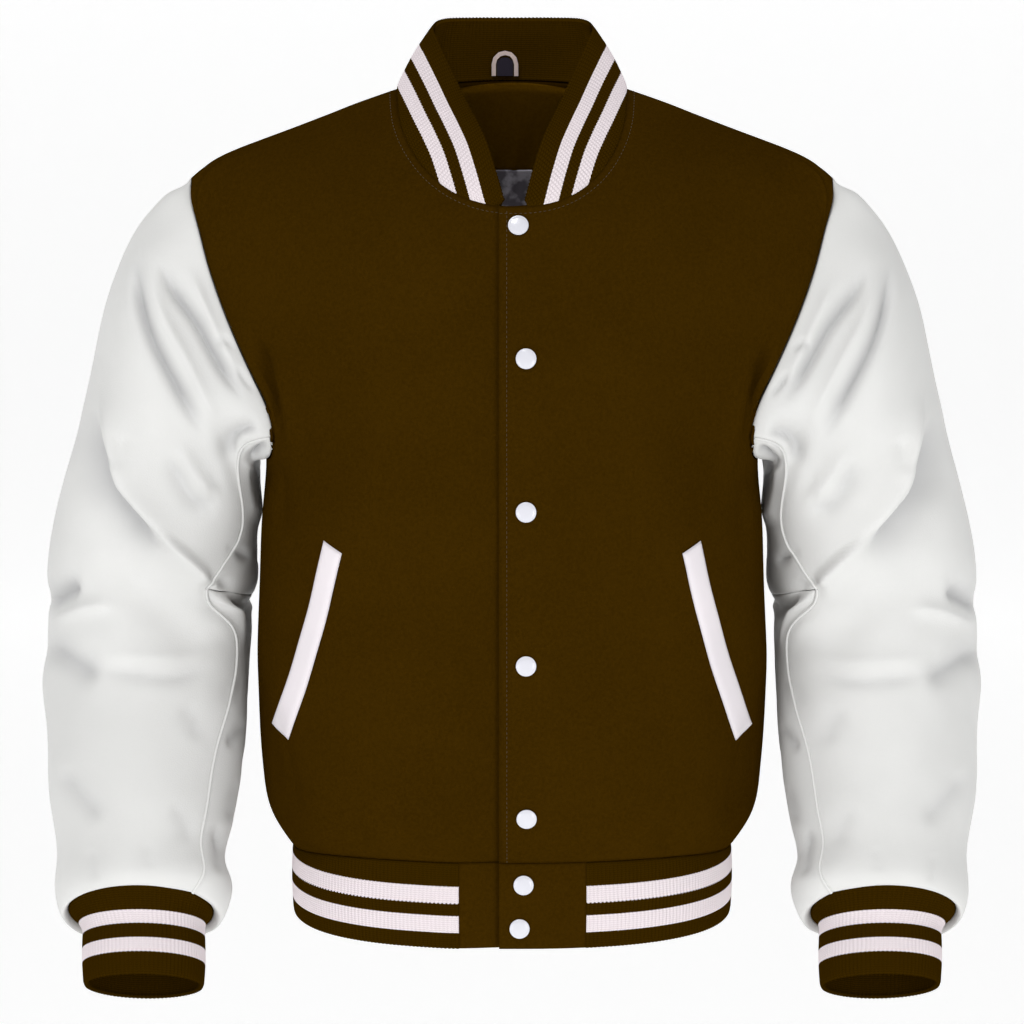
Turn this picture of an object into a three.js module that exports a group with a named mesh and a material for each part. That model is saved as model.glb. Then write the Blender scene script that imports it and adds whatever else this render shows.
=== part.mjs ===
// Varsity jacket: wool body, leather sleeves, and striped rib knit at the collar, cuffs and hem.
// Millimetres. +Z is up, the front faces -Y and +X is the wearer's left.
// The origin lies between the shoulders, level with the points where the shoulder seams meet the collar.
import * as THREE from "three";

// Cloth
const WOOL = 2.6;
const LEATHER = 1.8;
const RIB_KNIT = 3.2;
const LINING = 1.2;
const HALF_GAP = 0.18;
const SLEEVE_EASE = 0.32;
const ARMHOLE_EASE = 0.45;
const COLLAR_EASE = 0.8;
const LAY_GAP = 0.3;

// Body
const CENTRE_X = 1.8;
const OVER_EDGE_X = -10;
const UNDER_EDGE_X = 27;
const OVERLAP_RECESS = 4.4;
const NECK_HALF_WIDTH = 87.5;
const NECK_DROP = 84;
const BACK_NECK_RISE = 5;
const SHOULDER_DROP = 68;
const UNDERARM_Z = -283;
const HEM_SEAM_Z = -577;
const HEM_SIDE_DROP = 13;
const WELT_WIDTH = 14;
const WELT_THICKNESS = 2;

// Rib knit
const RIB_PITCH = 3.2;
const RIB_RAISE = 0.55;
const HEM_BOTTOM_Z = -644;
const TAB_SEAM_LEFT_X = 56;
const TAB_SEAM_RIGHT_X = -40;

// Snaps
const SNAP_RADIUS = 7.6;
const SNAP_HEIGHT = 2.6;

// How finely the cloth is divided
const SIDE_ROWS = 10;
const ARMHOLE_ROWS = 12;
const SHOULDER_COLUMNS = 5;
const FRONT_NECK_COLUMNS = 7;
const BACK_NECK_COLUMNS = 10;

// Level sections of the body, from the hem seam up to the back of the neck. Front and back are the depths of
// the centre front and centre back; bow is 1 for a round section and less for a squarer one.
const bodySections = [
  { at: "under the blouson", z: -592, halfWidth: 171.5, front: 112, back: 110, bow: 0.9 },
  { at: "hem seam", z: -577, halfWidth: 184, front: 121.5, back: 120, bow: 0.88 },
  { at: "blouson", z: -560, halfWidth: 190.5, front: 129, back: 128, bow: 0.86 },
  { at: "low hip", z: -543, halfWidth: 194, front: 132.5, back: 131, bow: 0.86 },
  { at: "hip", z: -510, halfWidth: 197.5, front: 135, back: 133, bow: 0.86 },
  { at: "pocket", z: -446, halfWidth: 199.5, front: 136, back: 133, bow: 0.86 },
  { at: "waist", z: -382, halfWidth: 197, front: 135, back: 133, bow: 0.86 },
  { at: "ribs", z: -330, halfWidth: 194.5, front: 134, back: 135, bow: 0.86 },
  { at: "underarm", z: -283, halfWidth: 191, front: 132, back: 137, bow: 0.87 },
  { at: "low chest", z: -248, halfWidth: 201, front: 129.5, back: 138, bow: 0.9 },
  { at: "chest", z: -216, halfWidth: 215, front: 126.5, back: 137, bow: 0.92 },
  { at: "high chest", z: -186, halfWidth: 227, front: 122.5, back: 135, bow: 0.95 },
  { at: "shoulder blade", z: -157, halfWidth: 236, front: 117.5, back: 131, bow: 0.98 },
  { at: "below the collar", z: -128, halfWidth: 243, front: 111, back: 125, bow: 1 },
  { at: "under the neckline", z: -100, halfWidth: 247, front: 101, back: 116, bow: 1.05 },
  { at: "front neck point", z: -84, halfWidth: 247.5, front: 93, back: 111, bow: 1.08 },
  { at: "shoulder tip", z: -68, halfWidth: 246.5, front: 81, back: 104, bow: 1.12 },
  { at: "outer shoulder", z: -54, halfWidth: 227, front: 70, back: 98, bow: 1.16 },
  { at: "mid shoulder", z: -39, halfWidth: 189.5, front: 58, back: 92, bow: 1.2 },
  { at: "inner shoulder", z: -24, halfWidth: 151, front: 45, back: 86, bow: 1.18 },
  { at: "by the neck", z: -8, halfWidth: 112, front: 30, back: 79, bow: 1.05 },
  { at: "neck point", z: 0, halfWidth: 87.5, front: 14, back: 76, bow: 1 },
  { at: "back neck", z: 6, halfWidth: 76, front: 10, back: 74, bow: 1 },
];

// The armhole from the underarm up to the shoulder tip: how far it runs in front of the side seam and behind it.
const armholeStations = [
  { at: "underarm", z: -283, front: 0, back: 0 },
  { at: "low curve", z: -281.5, front: 28, back: 29 },
  { at: "turn", z: -275, front: 50, back: 52 },
  { at: "rise", z: -262, front: 60, back: 63 },
  { at: "widest", z: -243, front: 62, back: 65 },
  { at: "low chest", z: -216, front: 58, back: 61 },
  { at: "chest", z: -186, front: 50, back: 54 },
  { at: "high chest", z: -157, front: 41, back: 46 },
  { at: "upper", z: -128, front: 33, back: 37 },
  { at: "cap", z: -99, front: 21, back: 24 },
  { at: "shoulder tip", z: -68, front: 0, back: 0 },
];

// Rings of the left sleeve, from the armhole to the cuff seam. Outer and inner are the ring's ends as seen from
// the front, y is its middle, depth its half depth and tilt how far its front edge is raised, in degrees.
// Arm is 0 where the ring has the armhole's shape and 1 where it is a plain oval. Seam is the turn, in degrees from
// the outer end round the front, at which the seam between the top and the under sleeve crosses the ring.
const sleeveRings = [
  { at: "armhole", outX: 246.5, outZ: -68, inX: 191, inZ: -283, y: 0, depth: 63, tilt: 0, arm: 0, seam: 135 },
  { at: "cap 1", outX: 260, outZ: -77, inX: 197, inZ: -287, y: 0, depth: 67, tilt: 0, arm: 0.1, seam: 135 },
  { at: "cap 2", outX: 273, outZ: -88, inX: 199, inZ: -293, y: 1, depth: 70, tilt: 0, arm: 0.3, seam: 135 },
  { at: "cap 3", outX: 286, outZ: -103, inX: 199, inZ: -301, y: 2, depth: 72, tilt: 0, arm: 0.55, seam: 136 },
  { at: "cap 4", outX: 297, outZ: -122, inX: 198, inZ: -310, y: 3, depth: 74, tilt: 0, arm: 0.8, seam: 139 },
  { at: "cap 5", outX: 306.5, outZ: -144, inX: 197, inZ: -320, y: 4, depth: 75, tilt: 0, arm: 0.95, seam: 143 },
  { at: "upper arm 1", outX: 315, outZ: -168, inX: 197, inZ: -331, y: 6, depth: 75, tilt: 0, arm: 1, seam: 147 },
  { at: "upper arm 2", outX: 322.5, outZ: -197, inX: 199, inZ: -342, y: 8, depth: 75, tilt: 0, arm: 1, seam: 150 },
  { at: "upper arm 3", outX: 330, outZ: -228, inX: 200, inZ: -353, y: 11, depth: 75, tilt: 1, arm: 1, seam: 148 },
  { at: "upper arm 4", outX: 338, outZ: -259, inX: 200, inZ: -364, y: 14, depth: 75, tilt: 2, arm: 1, seam: 143 },
  { at: "upper arm 5", outX: 346.5, outZ: -290, inX: 200, inZ: -375, y: 17, depth: 75, tilt: 4, arm: 1, seam: 136 },
  { at: "above elbow", outX: 355.5, outZ: -322, inX: 201, inZ: -386, y: 19, depth: 75, tilt: 6, arm: 1, seam: 130 },
  { at: "elbow", outX: 364, outZ: -356, inX: 205, inZ: -397, y: 20, depth: 75, tilt: 8, arm: 1, seam: 126 },
  { at: "elbow point", outX: 370, outZ: -384, inX: 211, inZ: -409, y: 17, depth: 74, tilt: 11, arm: 1, seam: 134 },
  { at: "below elbow", outX: 367.5, outZ: -406, inX: 208.5, inZ: -424, y: 11, depth: 73, tilt: 15, arm: 1, seam: 147 },
  { at: "forearm 1", outX: 367.5, outZ: -434, inX: 207, inZ: -443, y: 2, depth: 71, tilt: 19, arm: 1, seam: 156 },
  { at: "forearm 2", outX: 368, outZ: -462, inX: 207.5, inZ: -467, y: -8, depth: 69, tilt: 22, arm: 1, seam: 155 },
  { at: "forearm 3", outX: 364, outZ: -490, inX: 208, inZ: -493, y: -20, depth: 67, tilt: 25, arm: 1, seam: 148 },
  { at: "forearm 4", outX: 361.5, outZ: -516, inX: 210, inZ: -518, y: -33, depth: 65, tilt: 27, arm: 1, seam: 142 },
  { at: "forearm 5", outX: 359.5, outZ: -541, inX: 213, inZ: -542, y: -46, depth: 63, tilt: 28, arm: 1, seam: 140 },
  { at: "forearm 6", outX: 354, outZ: -565, inX: 217, inZ: -565, y: -59, depth: 61, tilt: 29, arm: 1, seam: 140 },
  { at: "wrist", outX: 350, outZ: -586, inX: 220, inZ: -586, y: -70, depth: 60, tilt: 31, arm: 1, seam: 139 },
  { at: "blouson", outX: 350.5, outZ: -604, inX: 215, inZ: -603, y: -80, depth: 61, tilt: 34, arm: 1, seam: 138 },
  { at: "fullest", outX: 349, outZ: -619, inX: 217, inZ: -616, y: -87, depth: 62, tilt: 38, arm: 1, seam: 137 },
  { at: "turned under", outX: 344.5, outZ: -629, inX: 223.5, inZ: -627, y: -88.5, depth: 60.5, tilt: 39.5, arm: 1, seam: 135 },
  { at: "cuff seam", outX: 340, outZ: -625, inX: 230, inZ: -623.5, y: -86, depth: 56.5, tilt: 39, arm: 1, seam: 135 },
];
const SLEEVE_COLUMNS = 24;
const INNER_COLUMN = SLEEVE_COLUMNS / 2;
const FRONT_SEAM_COLUMN = 9;
const BACK_SEAM_COLUMN = 15;
const CROSS_SEAM_RING = 12;

// Rings of the left cuff below its seam: how far each lies along the cuff, and how far it is set in towards the body.
const cuffRings = [
  { at: "below the flare", along: 18, inset: 3, halfWidth: 46, halfDepth: 41 },
  { at: "mouth", along: 64, inset: 4.5, halfWidth: 45, halfDepth: 39 },
];
const CUFF_TILT = 29;

// The largest folds. Each runs from one place to another, as a turn and a height, and stands out by its lift or
// sinks in where that is negative; left and right are the lifts on the two sides. Width is half of its breadth.
// On a sleeve the turn is 0 on the outer side, 90 in front, 180 on the inner side and 270 behind.
const sleeveFolds = [
  { at: "from the cap", turn: 56, z: -125, endTurn: 108, endZ: -280, width: 20, left: -4.5, right: -4 },
  { at: "beside it", turn: 78, z: -128, endTurn: 122, endZ: -238, width: 16, left: 3, right: 3.5 },
  { at: "underarm", turn: 128, z: -268, endTurn: 165, endZ: -300, width: 20, left: -6, right: -6.5 },
  { at: "elbow ridge", turn: 48, z: -268, endTurn: 150, endZ: -408, width: 18, left: 6, right: 5.5 },
  { at: "under the ridge", turn: 36, z: -296, endTurn: 130, endZ: -432, width: 18, left: -5.5, right: -6 },
  { at: "outer elbow", turn: 0, z: -377, endTurn: 62, endZ: -390, width: 16, left: -4, right: -3.5 },
  { at: "below the elbow", turn: 8, z: -418, endTurn: 58, endZ: -455, width: 16, left: -4, right: -4.5 },
  { at: "forearm", turn: 70, z: -470, endTurn: 112, endZ: -530, width: 22, left: 2.5, right: 2 },
  { at: "back of the cap", turn: 304, z: -130, endTurn: 256, endZ: -262, width: 20, left: -4, right: -4.5 },
  { at: "back of the elbow", turn: 300, z: -372, endTurn: 222, endZ: -420, width: 18, left: -4.5, right: -4 },
];
const bodyFolds = [
  { at: "front of the armhole", turn: 56, z: -190, endTurn: 54, endZ: -300, width: 16, left: -3.5, right: -3.5 },
  { at: "beside it", turn: 42, z: -200, endTurn: 44, endZ: -290, width: 22, left: 1.8, right: 1.5 },
  { at: "back of the armhole", turn: 126, z: -180, endTurn: 122, endZ: -310, width: 18, left: -4, right: -4 },
  { at: "low side", turn: 76, z: -470, endTurn: 64, endZ: -552, width: 18, left: -2.5, right: -3 },
];
const SLEEVE_ARC = 1.3;
const BODY_ARC = 2.9;
const FOLD_RINGS = 3;

// The collar's upper edge, from its front end to the centre back. Seam is the part of the neck seam passed so far.
const collarEdge = [
  { at: "front end", seam: 0, x: 8, y: -91, z: -79 },
  { at: "taper", seam: 0.1, x: 14.5, y: -78, z: -56 },
  { at: "below the throat", seam: 0.17, x: 21, y: -62, z: -37 },
  { at: "throat", seam: 0.25, x: 28, y: -48, z: -22.5 },
  { at: "neck front", seam: 0.35, x: 36, y: -32, z: -8 },
  { at: "neck side", seam: 0.44, x: 44, y: -13, z: 8 },
  { at: "shoulder", seam: 0.56, x: 58, y: 20, z: 36 },
  { at: "behind the shoulder", seam: 0.66, x: 62, y: 38, z: 46 },
  { at: "back corner", seam: 0.78, x: 54, y: 50, z: 52 },
  { at: "back", seam: 0.89, x: 30, y: 60, z: 53 },
  { at: "centre back", seam: 1, x: 0, y: 62, z: 53 },
];
const COLLAR_BOW = 3.5;

const degrees = THREE.MathUtils.degToRad(1);
const lerp = THREE.MathUtils.lerp;
const clamp = THREE.MathUtils.clamp;
const vector = (x, y, z) => new THREE.Vector3(x, y, z);
const signedPower = (value, power) => Math.sign(value) * Math.abs(value) ** power;
const steps = (count) => Array.from({ length: count + 1 }, (_, i) => i / count);
const between = (a, b, share) => a.clone().lerp(b, share);

// A smooth curve through one column of a table, read at any value of its key column.
function smoothColumn(table, key, column) {
  const keys = table.map((row) => row[key]);
  const values = table.map((row) => row[column]);
  const last = keys.length - 1;
  const slopes = values.map((_, i) => {
    const before = Math.max(i - 1, 0);
    const after = Math.min(i + 1, last);
    return (values[after] - values[before]) / (keys[after] - keys[before]);
  });
  return (at) => {
    const place = clamp(at, keys[0], keys[last]);
    let i = 0;
    while (i < last - 1 && place > keys[i + 1]) i += 1;
    const span = keys[i + 1] - keys[i];
    const t = (place - keys[i]) / span;
    const rise = slopes[i] * span;
    const run = slopes[i + 1] * span;
    const fall = values[i + 1] - values[i];
    return values[i] + t * (rise + t * (3 * fall - 2 * rise - run + t * (rise + run - 2 * fall)));
  };
}

// How far the folds of a table lift the cloth at a place; arc is the length of cloth in one degree of turn.
function foldLift(folds, side, arc, turn, z) {
  let lift = 0;
  folds.forEach((fold) => {
    const run = (fold.endTurn - fold.turn) * arc;
    const rise = fold.endZ - fold.z;
    const across = (turn - fold.turn) * arc;
    const up = z - fold.z;
    const along = (across * run + up * rise) / (run * run + rise * rise);
    const nearest = clamp(along, 0, 1);
    const away = Math.hypot(across - nearest * run, up - nearest * rise) / fold.width;
    lift += fold[side] * Math.exp(-away * away);
  });
  return lift;
}

const halfWidthAt = smoothColumn(bodySections, "z", "halfWidth");
const frontDepthAt = smoothColumn(bodySections, "z", "front");
const backDepthAt = smoothColumn(bodySections, "z", "back");
const bowAt = smoothColumn(bodySections, "z", "bow");

// Places on the body are a turn in degrees, 0 at centre front, 90 at the left side and 180 at centre back, and a
// height. The two below find the turn of a place from its x, or from its depth at the side.
function turnAtX(x, z) {
  return Math.asin(clamp(signedPower(x / halfWidthAt(z), 1 / bowAt(z)), -1, 1)) / degrees;
}

function turnAtDepth(depth, z, isBack) {
  const full = isBack ? backDepthAt(z) : frontDepthAt(z);
  const turn = Math.acos(clamp(depth / full, 0, 1) ** (1 / bowAt(z))) / degrees;
  return isBack ? 180 - turn : turn;
}

function bodyPoint(turn, z) {
  const bow = bowAt(z);
  const x = halfWidthAt(z) * signedPower(Math.sin(turn * degrees), bow);
  const outward = Math.cos(turn * degrees);
  const depth = outward > 0 ? -frontDepthAt(z) : backDepthAt(z);
  return vector(x, depth * Math.abs(outward) ** bow, z);
}

// The right front sinks under the left one where they overlap.
function overlapRecess(x) {
  return OVERLAP_RECESS * THREE.MathUtils.smoothstep(x, OVER_EDGE_X - 20, OVER_EDGE_X - 3);
}

function hemSeamZ(turn) {
  return HEM_SEAM_Z - HEM_SIDE_DROP * Math.sin(turn * degrees) ** 4;
}

function frontNeckZ(x, fullness) {
  const across = clamp(Math.abs(x) / NECK_HALF_WIDTH, 0, 1);
  return -NECK_DROP * Math.sqrt(1 - across ** (2 / fullness));
}

// The armhole as turns and heights, from the underarm to the shoulder tip, evenly spaced along the seam.
function armholePlaces(isBack) {
  const depthColumn = isBack ? "back" : "front";
  const points = armholeStations.map((station) => vector(0, station[depthColumn], station.z));
  const curve = new THREE.CatmullRomCurve3(points, false, "centripetal");
  return curve.getSpacedPoints(ARMHOLE_ROWS).map((p) => ({ turn: turnAtDepth(p.y, p.z, isBack), z: p.z }));
}

// A place inside a four-sided patch, blended from its four edges. Its height keeps to the left edge for longer
// than its turn does, so that the rows rise steeply to the bottom of the armhole.
const RISE_POWER = 3;
function blendPatch(edges, u, v) {
  const { bottom, top, left, right } = edges;
  const blend = (key, across) =>
    (1 - v) * bottom(u)[key] +
    v * top(u)[key] +
    (1 - across) * left(v)[key] +
    across * right(v)[key] -
    (1 - across) * (1 - v) * bottom(0)[key] -
    across * (1 - v) * bottom(1)[key] -
    (1 - across) * v * top(0)[key] -
    across * v * top(1)[key];
  return { turn: blend("turn", u), z: blend("z", u ** RISE_POWER) };
}

const ROWS = SIDE_ROWS + ARMHOLE_ROWS;
const CENTRE_ROW_Z = UNDERARM_Z - 78;
const SIDE_SHARE = SIDE_ROWS / ROWS;

// The edge that runs up the side seam and then round the armhole.
function sideEdge(isBack) {
  const armhole = armholePlaces(isBack);
  return (v) => {
    if (v <= SIDE_SHARE) return { turn: 90, z: lerp(hemSeamZ(90), UNDERARM_Z, v / SIDE_SHARE) };
    return armhole[Math.round(((v - SIDE_SHARE) / (1 - SIDE_SHARE)) * ARMHOLE_ROWS)];
  };
}

// One front as a grid of places: columns from the front edge to the side, rows from the hem to the shoulder.
function frontPlaces(edgeX, neckFullness) {
  const columns = FRONT_NECK_COLUMNS + SHOULDER_COLUMNS;
  const neckShare = FRONT_NECK_COLUMNS / columns;
  const edgeNeckZ = frontNeckZ(edgeX, neckFullness);
  const left = (v) => {
    const z = v <= SIDE_SHARE
      ? lerp(HEM_SEAM_Z, CENTRE_ROW_Z, v / SIDE_SHARE)
      : lerp(CENTRE_ROW_Z, edgeNeckZ, (v - SIDE_SHARE) / (1 - SIDE_SHARE));
    return { turn: turnAtX(edgeX, z), z };
  };
  const bottom = (u) => {
    const turn = lerp(turnAtX(edgeX, HEM_SEAM_Z), 90, u);
    return { turn, z: hemSeamZ(turn) };
  };
  const start = Math.asin(clamp(edgeX / NECK_HALF_WIDTH, -1, 1));
  const top = (u) => {
    if (u > neckShare) return { turn: 90, z: lerp(0, -SHOULDER_DROP, (u - neckShare) / (1 - neckShare)) };
    const swing = lerp(start, Math.PI / 2, u / neckShare);
    const x = NECK_HALF_WIDTH * signedPower(Math.sin(swing), 1);
    const z = frontNeckZ(x, neckFullness);
    return { turn: turnAtX(x, z), z };
  };
  const edges = { bottom, top, left, right: sideEdge(false) };
  return steps(ROWS).map((v) => steps(columns).map((u) => blendPatch(edges, u, v)));
}

// The back as a grid of places, with columns from the left side round to the right side.
function backPlaces() {
  const columns = BACK_NECK_COLUMNS / 2 + SHOULDER_COLUMNS;
  const neckShare = BACK_NECK_COLUMNS / 2 / columns;
  const left = (v) => {
    const z = v <= SIDE_SHARE
      ? lerp(HEM_SEAM_Z, CENTRE_ROW_Z, v / SIDE_SHARE)
      : lerp(CENTRE_ROW_Z, BACK_NECK_RISE, (v - SIDE_SHARE) / (1 - SIDE_SHARE));
    return { turn: 180, z };
  };
  const bottom = (u) => {
    const turn = lerp(180, 90, u);
    return { turn, z: hemSeamZ(turn) };
  };
  const top = (u) => {
    if (u > neckShare) return { turn: 90, z: lerp(0, -SHOULDER_DROP, (u - neckShare) / (1 - neckShare)) };
    const turn = lerp(180, 90, u / neckShare);
    return { turn, z: BACK_NECK_RISE * Math.cos(turn * degrees) ** 2 };
  };
  const edges = { bottom, top, left, right: sideEdge(true) };
  return steps(ROWS).map((v) => {
    const half = steps(columns).map((u) => blendPatch(edges, u, v));
    const other = half.slice(1).map(({ turn, z }) => ({ turn: 360 - turn, z }));
    return [...half.reverse(), ...other];
  });
}

// Places of a panel become points, with the outward direction of the cloth at each.
function clothGrid(places, shape) {
  const turnStep = 0.5;
  const heightStep = 0.5;
  const points = places.map((row) => row.map(({ turn, z }) => shape(turn, z)));
  const outward = places.map((row) =>
    row.map(({ turn, z }) => {
      const around = shape(turn + turnStep, z).sub(shape(turn - turnStep, z));
      const up = shape(turn, z + heightStep).sub(shape(turn, z - heightStep));
      return around.cross(up).normalize();
    }),
  );
  return { points, outward };
}

// Outward directions of a grid of points that has no formula; closed grids join their last column to the first.
function gridOutward(points, closed) {
  const rows = points.length;
  const columns = points[0].length;
  const column = (i) => (closed ? (i + columns) % columns : clamp(i, 0, columns - 1));
  return points.map((row, j) =>
    row.map((_, i) => {
      const around = row[column(i + 1)].clone().sub(row[column(i - 1)]);
      const up = points[Math.min(j + 1, rows - 1)][i].clone().sub(points[Math.max(j - 1, 0)][i]);
      return around.cross(up).normalize();
    }),
  );
}

// The direction in which two walls that meet at a seam share their cut, as long as the thicker wall needs.
function sharedCut(outwardA, outwardB, wall) {
  const longest = 1.2;
  const inward = outwardA.clone().add(outwardB).negate();
  if (inward.length() < 0.2) inward.set(0, 0, 1);
  inward.normalize();
  const slant = Math.min(Math.abs(inward.dot(outwardA)), Math.abs(inward.dot(outwardB)));
  return inward.multiplyScalar(wall * Math.min(longest, 1 / Math.max(slant, 0.1)));
}

// A closed body between an outer and an inner grid of points. The grids may differ in their number of columns:
// outerAt and innerAt then say how far along the edge, from 0 to 1, each column lies.
function shellGeometry(outer, inner, closed, outerAt, innerAt) {
  const positions = [];
  const triangles = [];
  const store = (grid) =>
    grid.map((row) =>
      row.map((p) => {
        positions.push(p.x, p.y, p.z);
        return positions.length / 3 - 1;
      }),
    );
  const wrap = (row) => (closed ? [...row, row[0]] : row);
  const skin = store(outer).map(wrap);
  const back = store(inner).map(wrap);
  const cover = (grid, reversed) => {
    for (let j = 0; j + 1 < grid.length; j += 1) {
      for (let i = 0; i + 1 < grid[j].length; i += 1) {
        const [a, b, c, d] = [grid[j][i], grid[j][i + 1], grid[j + 1][i + 1], grid[j + 1][i]];
        if (reversed) triangles.push(a, c, b, a, d, c);
        else triangles.push(a, b, c, a, c, d);
      }
    }
  };
  const rim = (a, b, placesA = steps(a.length - 1), placesB = steps(b.length - 1)) => {
    let i = 0;
    let j = 0;
    while (i < a.length - 1 || j < b.length - 1) {
      const nextA = placesA[i + 1];
      const nextB = placesB[j + 1];
      if (j === b.length - 1 || (i < a.length - 1 && nextA <= nextB + 1e-9)) {
        triangles.push(a[i + 1], a[i], b[j]);
        i += 1;
      } else {
        triangles.push(a[i], b[j], b[j + 1]);
        j += 1;
      }
    }
  };
  cover(skin, false);
  cover(back, true);
  const columnOf = (grid, i) => grid.map((row) => row.at(i));
  const reversed = (places) => places && places.map((place) => 1 - place).reverse();
  rim(skin[0], back[0], outerAt, innerAt);
  rim([...skin.at(-1)].reverse(), [...back.at(-1)].reverse(), reversed(outerAt), reversed(innerAt));
  if (!closed) {
    rim(columnOf(skin, -1), columnOf(back, -1));
    rim(columnOf(skin, 0).reverse(), columnOf(back, 0).reverse());
  }
  const geometry = new THREE.BufferGeometry();
  geometry.setAttribute("position", new THREE.Float32BufferAttribute(positions, 3));
  geometry.setIndex(triangles);
  return geometry;
}

// How far each edge point of a panel is drawn in along the cloth, so that panels stay apart at their seams. seams
// holds that distance for each edge that is sewn.
function seamShift(points, j, i, seams) {
  const shift = vector(0, 0, 0);
  const draw = (row, column, distance) => {
    const step = points[row][column].clone().sub(points[j][i]).normalize();
    shift.addScaledVector(step, distance);
  };
  const lastRow = points.length - 1;
  const lastColumn = points[j].length - 1;
  if (seams.bottom && j === 0) draw(1, i, seams.bottom);
  if (seams.top && j === lastRow) draw(lastRow - 1, i, seams.top);
  if (seams.left && i === 0) draw(j, 1, seams.left);
  if (seams.right && i === lastColumn) draw(j, lastColumn - 1, seams.right);
  return shift;
}

// A panel of cloth with its wall laid inward. cuts holds, per edge point, the cut that it shares with the panel
// it is sewn to, under the key "row,column".
function panelGrids(grid, wall, seams, cuts = new Map()) {
  const shifts = grid.points.map((row, j) => row.map((_, i) => seamShift(grid.points, j, i, seams)));
  const outer = grid.points.map((row, j) => row.map((p, i) => p.clone().add(shifts[j][i])));
  const inner = outer.map((row, j) =>
    row.map((p, i) => {
      const cut = cuts.get(`${j},${i}`);
      return cut ? p.clone().add(cut) : p.clone().addScaledVector(grid.outward[j][i], -wall);
    }),
  );
  return { outer, inner };
}

const ALL_SEAMS = { bottom: HALF_GAP, top: HALF_GAP, left: HALF_GAP, right: HALF_GAP };

// Materials
function cloth(color, roughness) {
  return new THREE.MeshStandardMaterial({ color, roughness, metalness: 0, side: THREE.FrontSide });
}
const WOOL_COLOUR = 0x392605;
const RIB_COLOUR = 0x322302;
const LEATHER_COLOUR = 0xe1e1df;
const STRIPE_COLOUR = 0xf0ebee;
const LINING_COLOUR = 0x2e292c;

const jacket = new THREE.Group();
function addPiece(name, geometry, material) {
  const piece = new THREE.Mesh(geometry, material);
  piece.name = name;
  jacket.add(piece);
  return piece;
}

// Body panels
const leftFrontPlaces = frontPlaces(OVER_EDGE_X, 0.8);
const rightFrontPlaces = frontPlaces(-UNDER_EDGE_X, 0.95);
const backPanelPlaces = backPlaces();

const mirrored = (p) => vector(-p.x, p.y, p.z);
function foldedPoint(turn, z, side) {
  const p = bodyPoint(turn, z);
  const spoke = vector(p.x, p.y, 0).normalize();
  return p.addScaledVector(spoke, foldLift(bodyFolds, side, BODY_ARC, turn, z));
}
const leftShape = (turn, z) => foldedPoint(turn, z, "left");
const rightShape = (turn, z) => {
  const p = mirrored(foldedPoint(turn, z, "right"));
  p.y += overlapRecess(p.x);
  return p;
};
const backShape = (turn, z) => (turn <= 180 ? leftShape(turn, z) : mirrored(foldedPoint(360 - turn, z, "right")));
const leftFront = clothGrid(leftFrontPlaces, leftShape);
const rightFront = clothGrid(rightFrontPlaces, rightShape);
rightFront.outward.forEach((row) => row.forEach((n) => n.negate()));
const back = clothGrid(backPanelPlaces, backShape);

// The armhole as one loop of points: from the shoulder tip down the front, under the arm and up the back.
function armholeLoop(isLeft) {
  const front = isLeft ? leftFront : rightFront;
  const backColumn = isLeft ? 0 : back.points[0].length - 1;
  const loop = [];
  for (let j = ROWS; j >= SIDE_ROWS; j -= 1) {
    loop.push({ point: front.points[j].at(-1), outward: front.outward[j].at(-1) });
  }
  for (let j = SIDE_ROWS + 1; j < ROWS; j += 1) {
    loop.push({ point: back.points[j][backColumn], outward: back.outward[j][backColumn] });
  }
  return loop;
}

// Keeps a sleeve point just clear of the body's side.
function clearOfBody(p) {
  const clearance = 2;
  const isBack = p.y > 0;
  const full = isBack ? backDepthAt(p.z) : frontDepthAt(p.z);
  const share = Math.abs(p.y) / full;
  if (p.z > UNDERARM_Z - 2 || share >= 1) return p;
  const power = 2 / bowAt(p.z);
  const bodyX = halfWidthAt(p.z) * (1 - share ** power) ** (1 / power);
  p.x = Math.max(p.x, bodyX + clearance);
  return p;
}

// The turn of a column of the sleeve on a ring whose front seam lies at the given turn.
function columnTurn(column, seam) {
  if (column <= FRONT_SEAM_COLUMN) return (column / FRONT_SEAM_COLUMN) * seam;
  if (column <= INNER_COLUMN) return lerp(seam, 180, (column - FRONT_SEAM_COLUMN) / (INNER_COLUMN - FRONT_SEAM_COLUMN));
  return (column / SLEEVE_COLUMNS) * 360;
}

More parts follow.
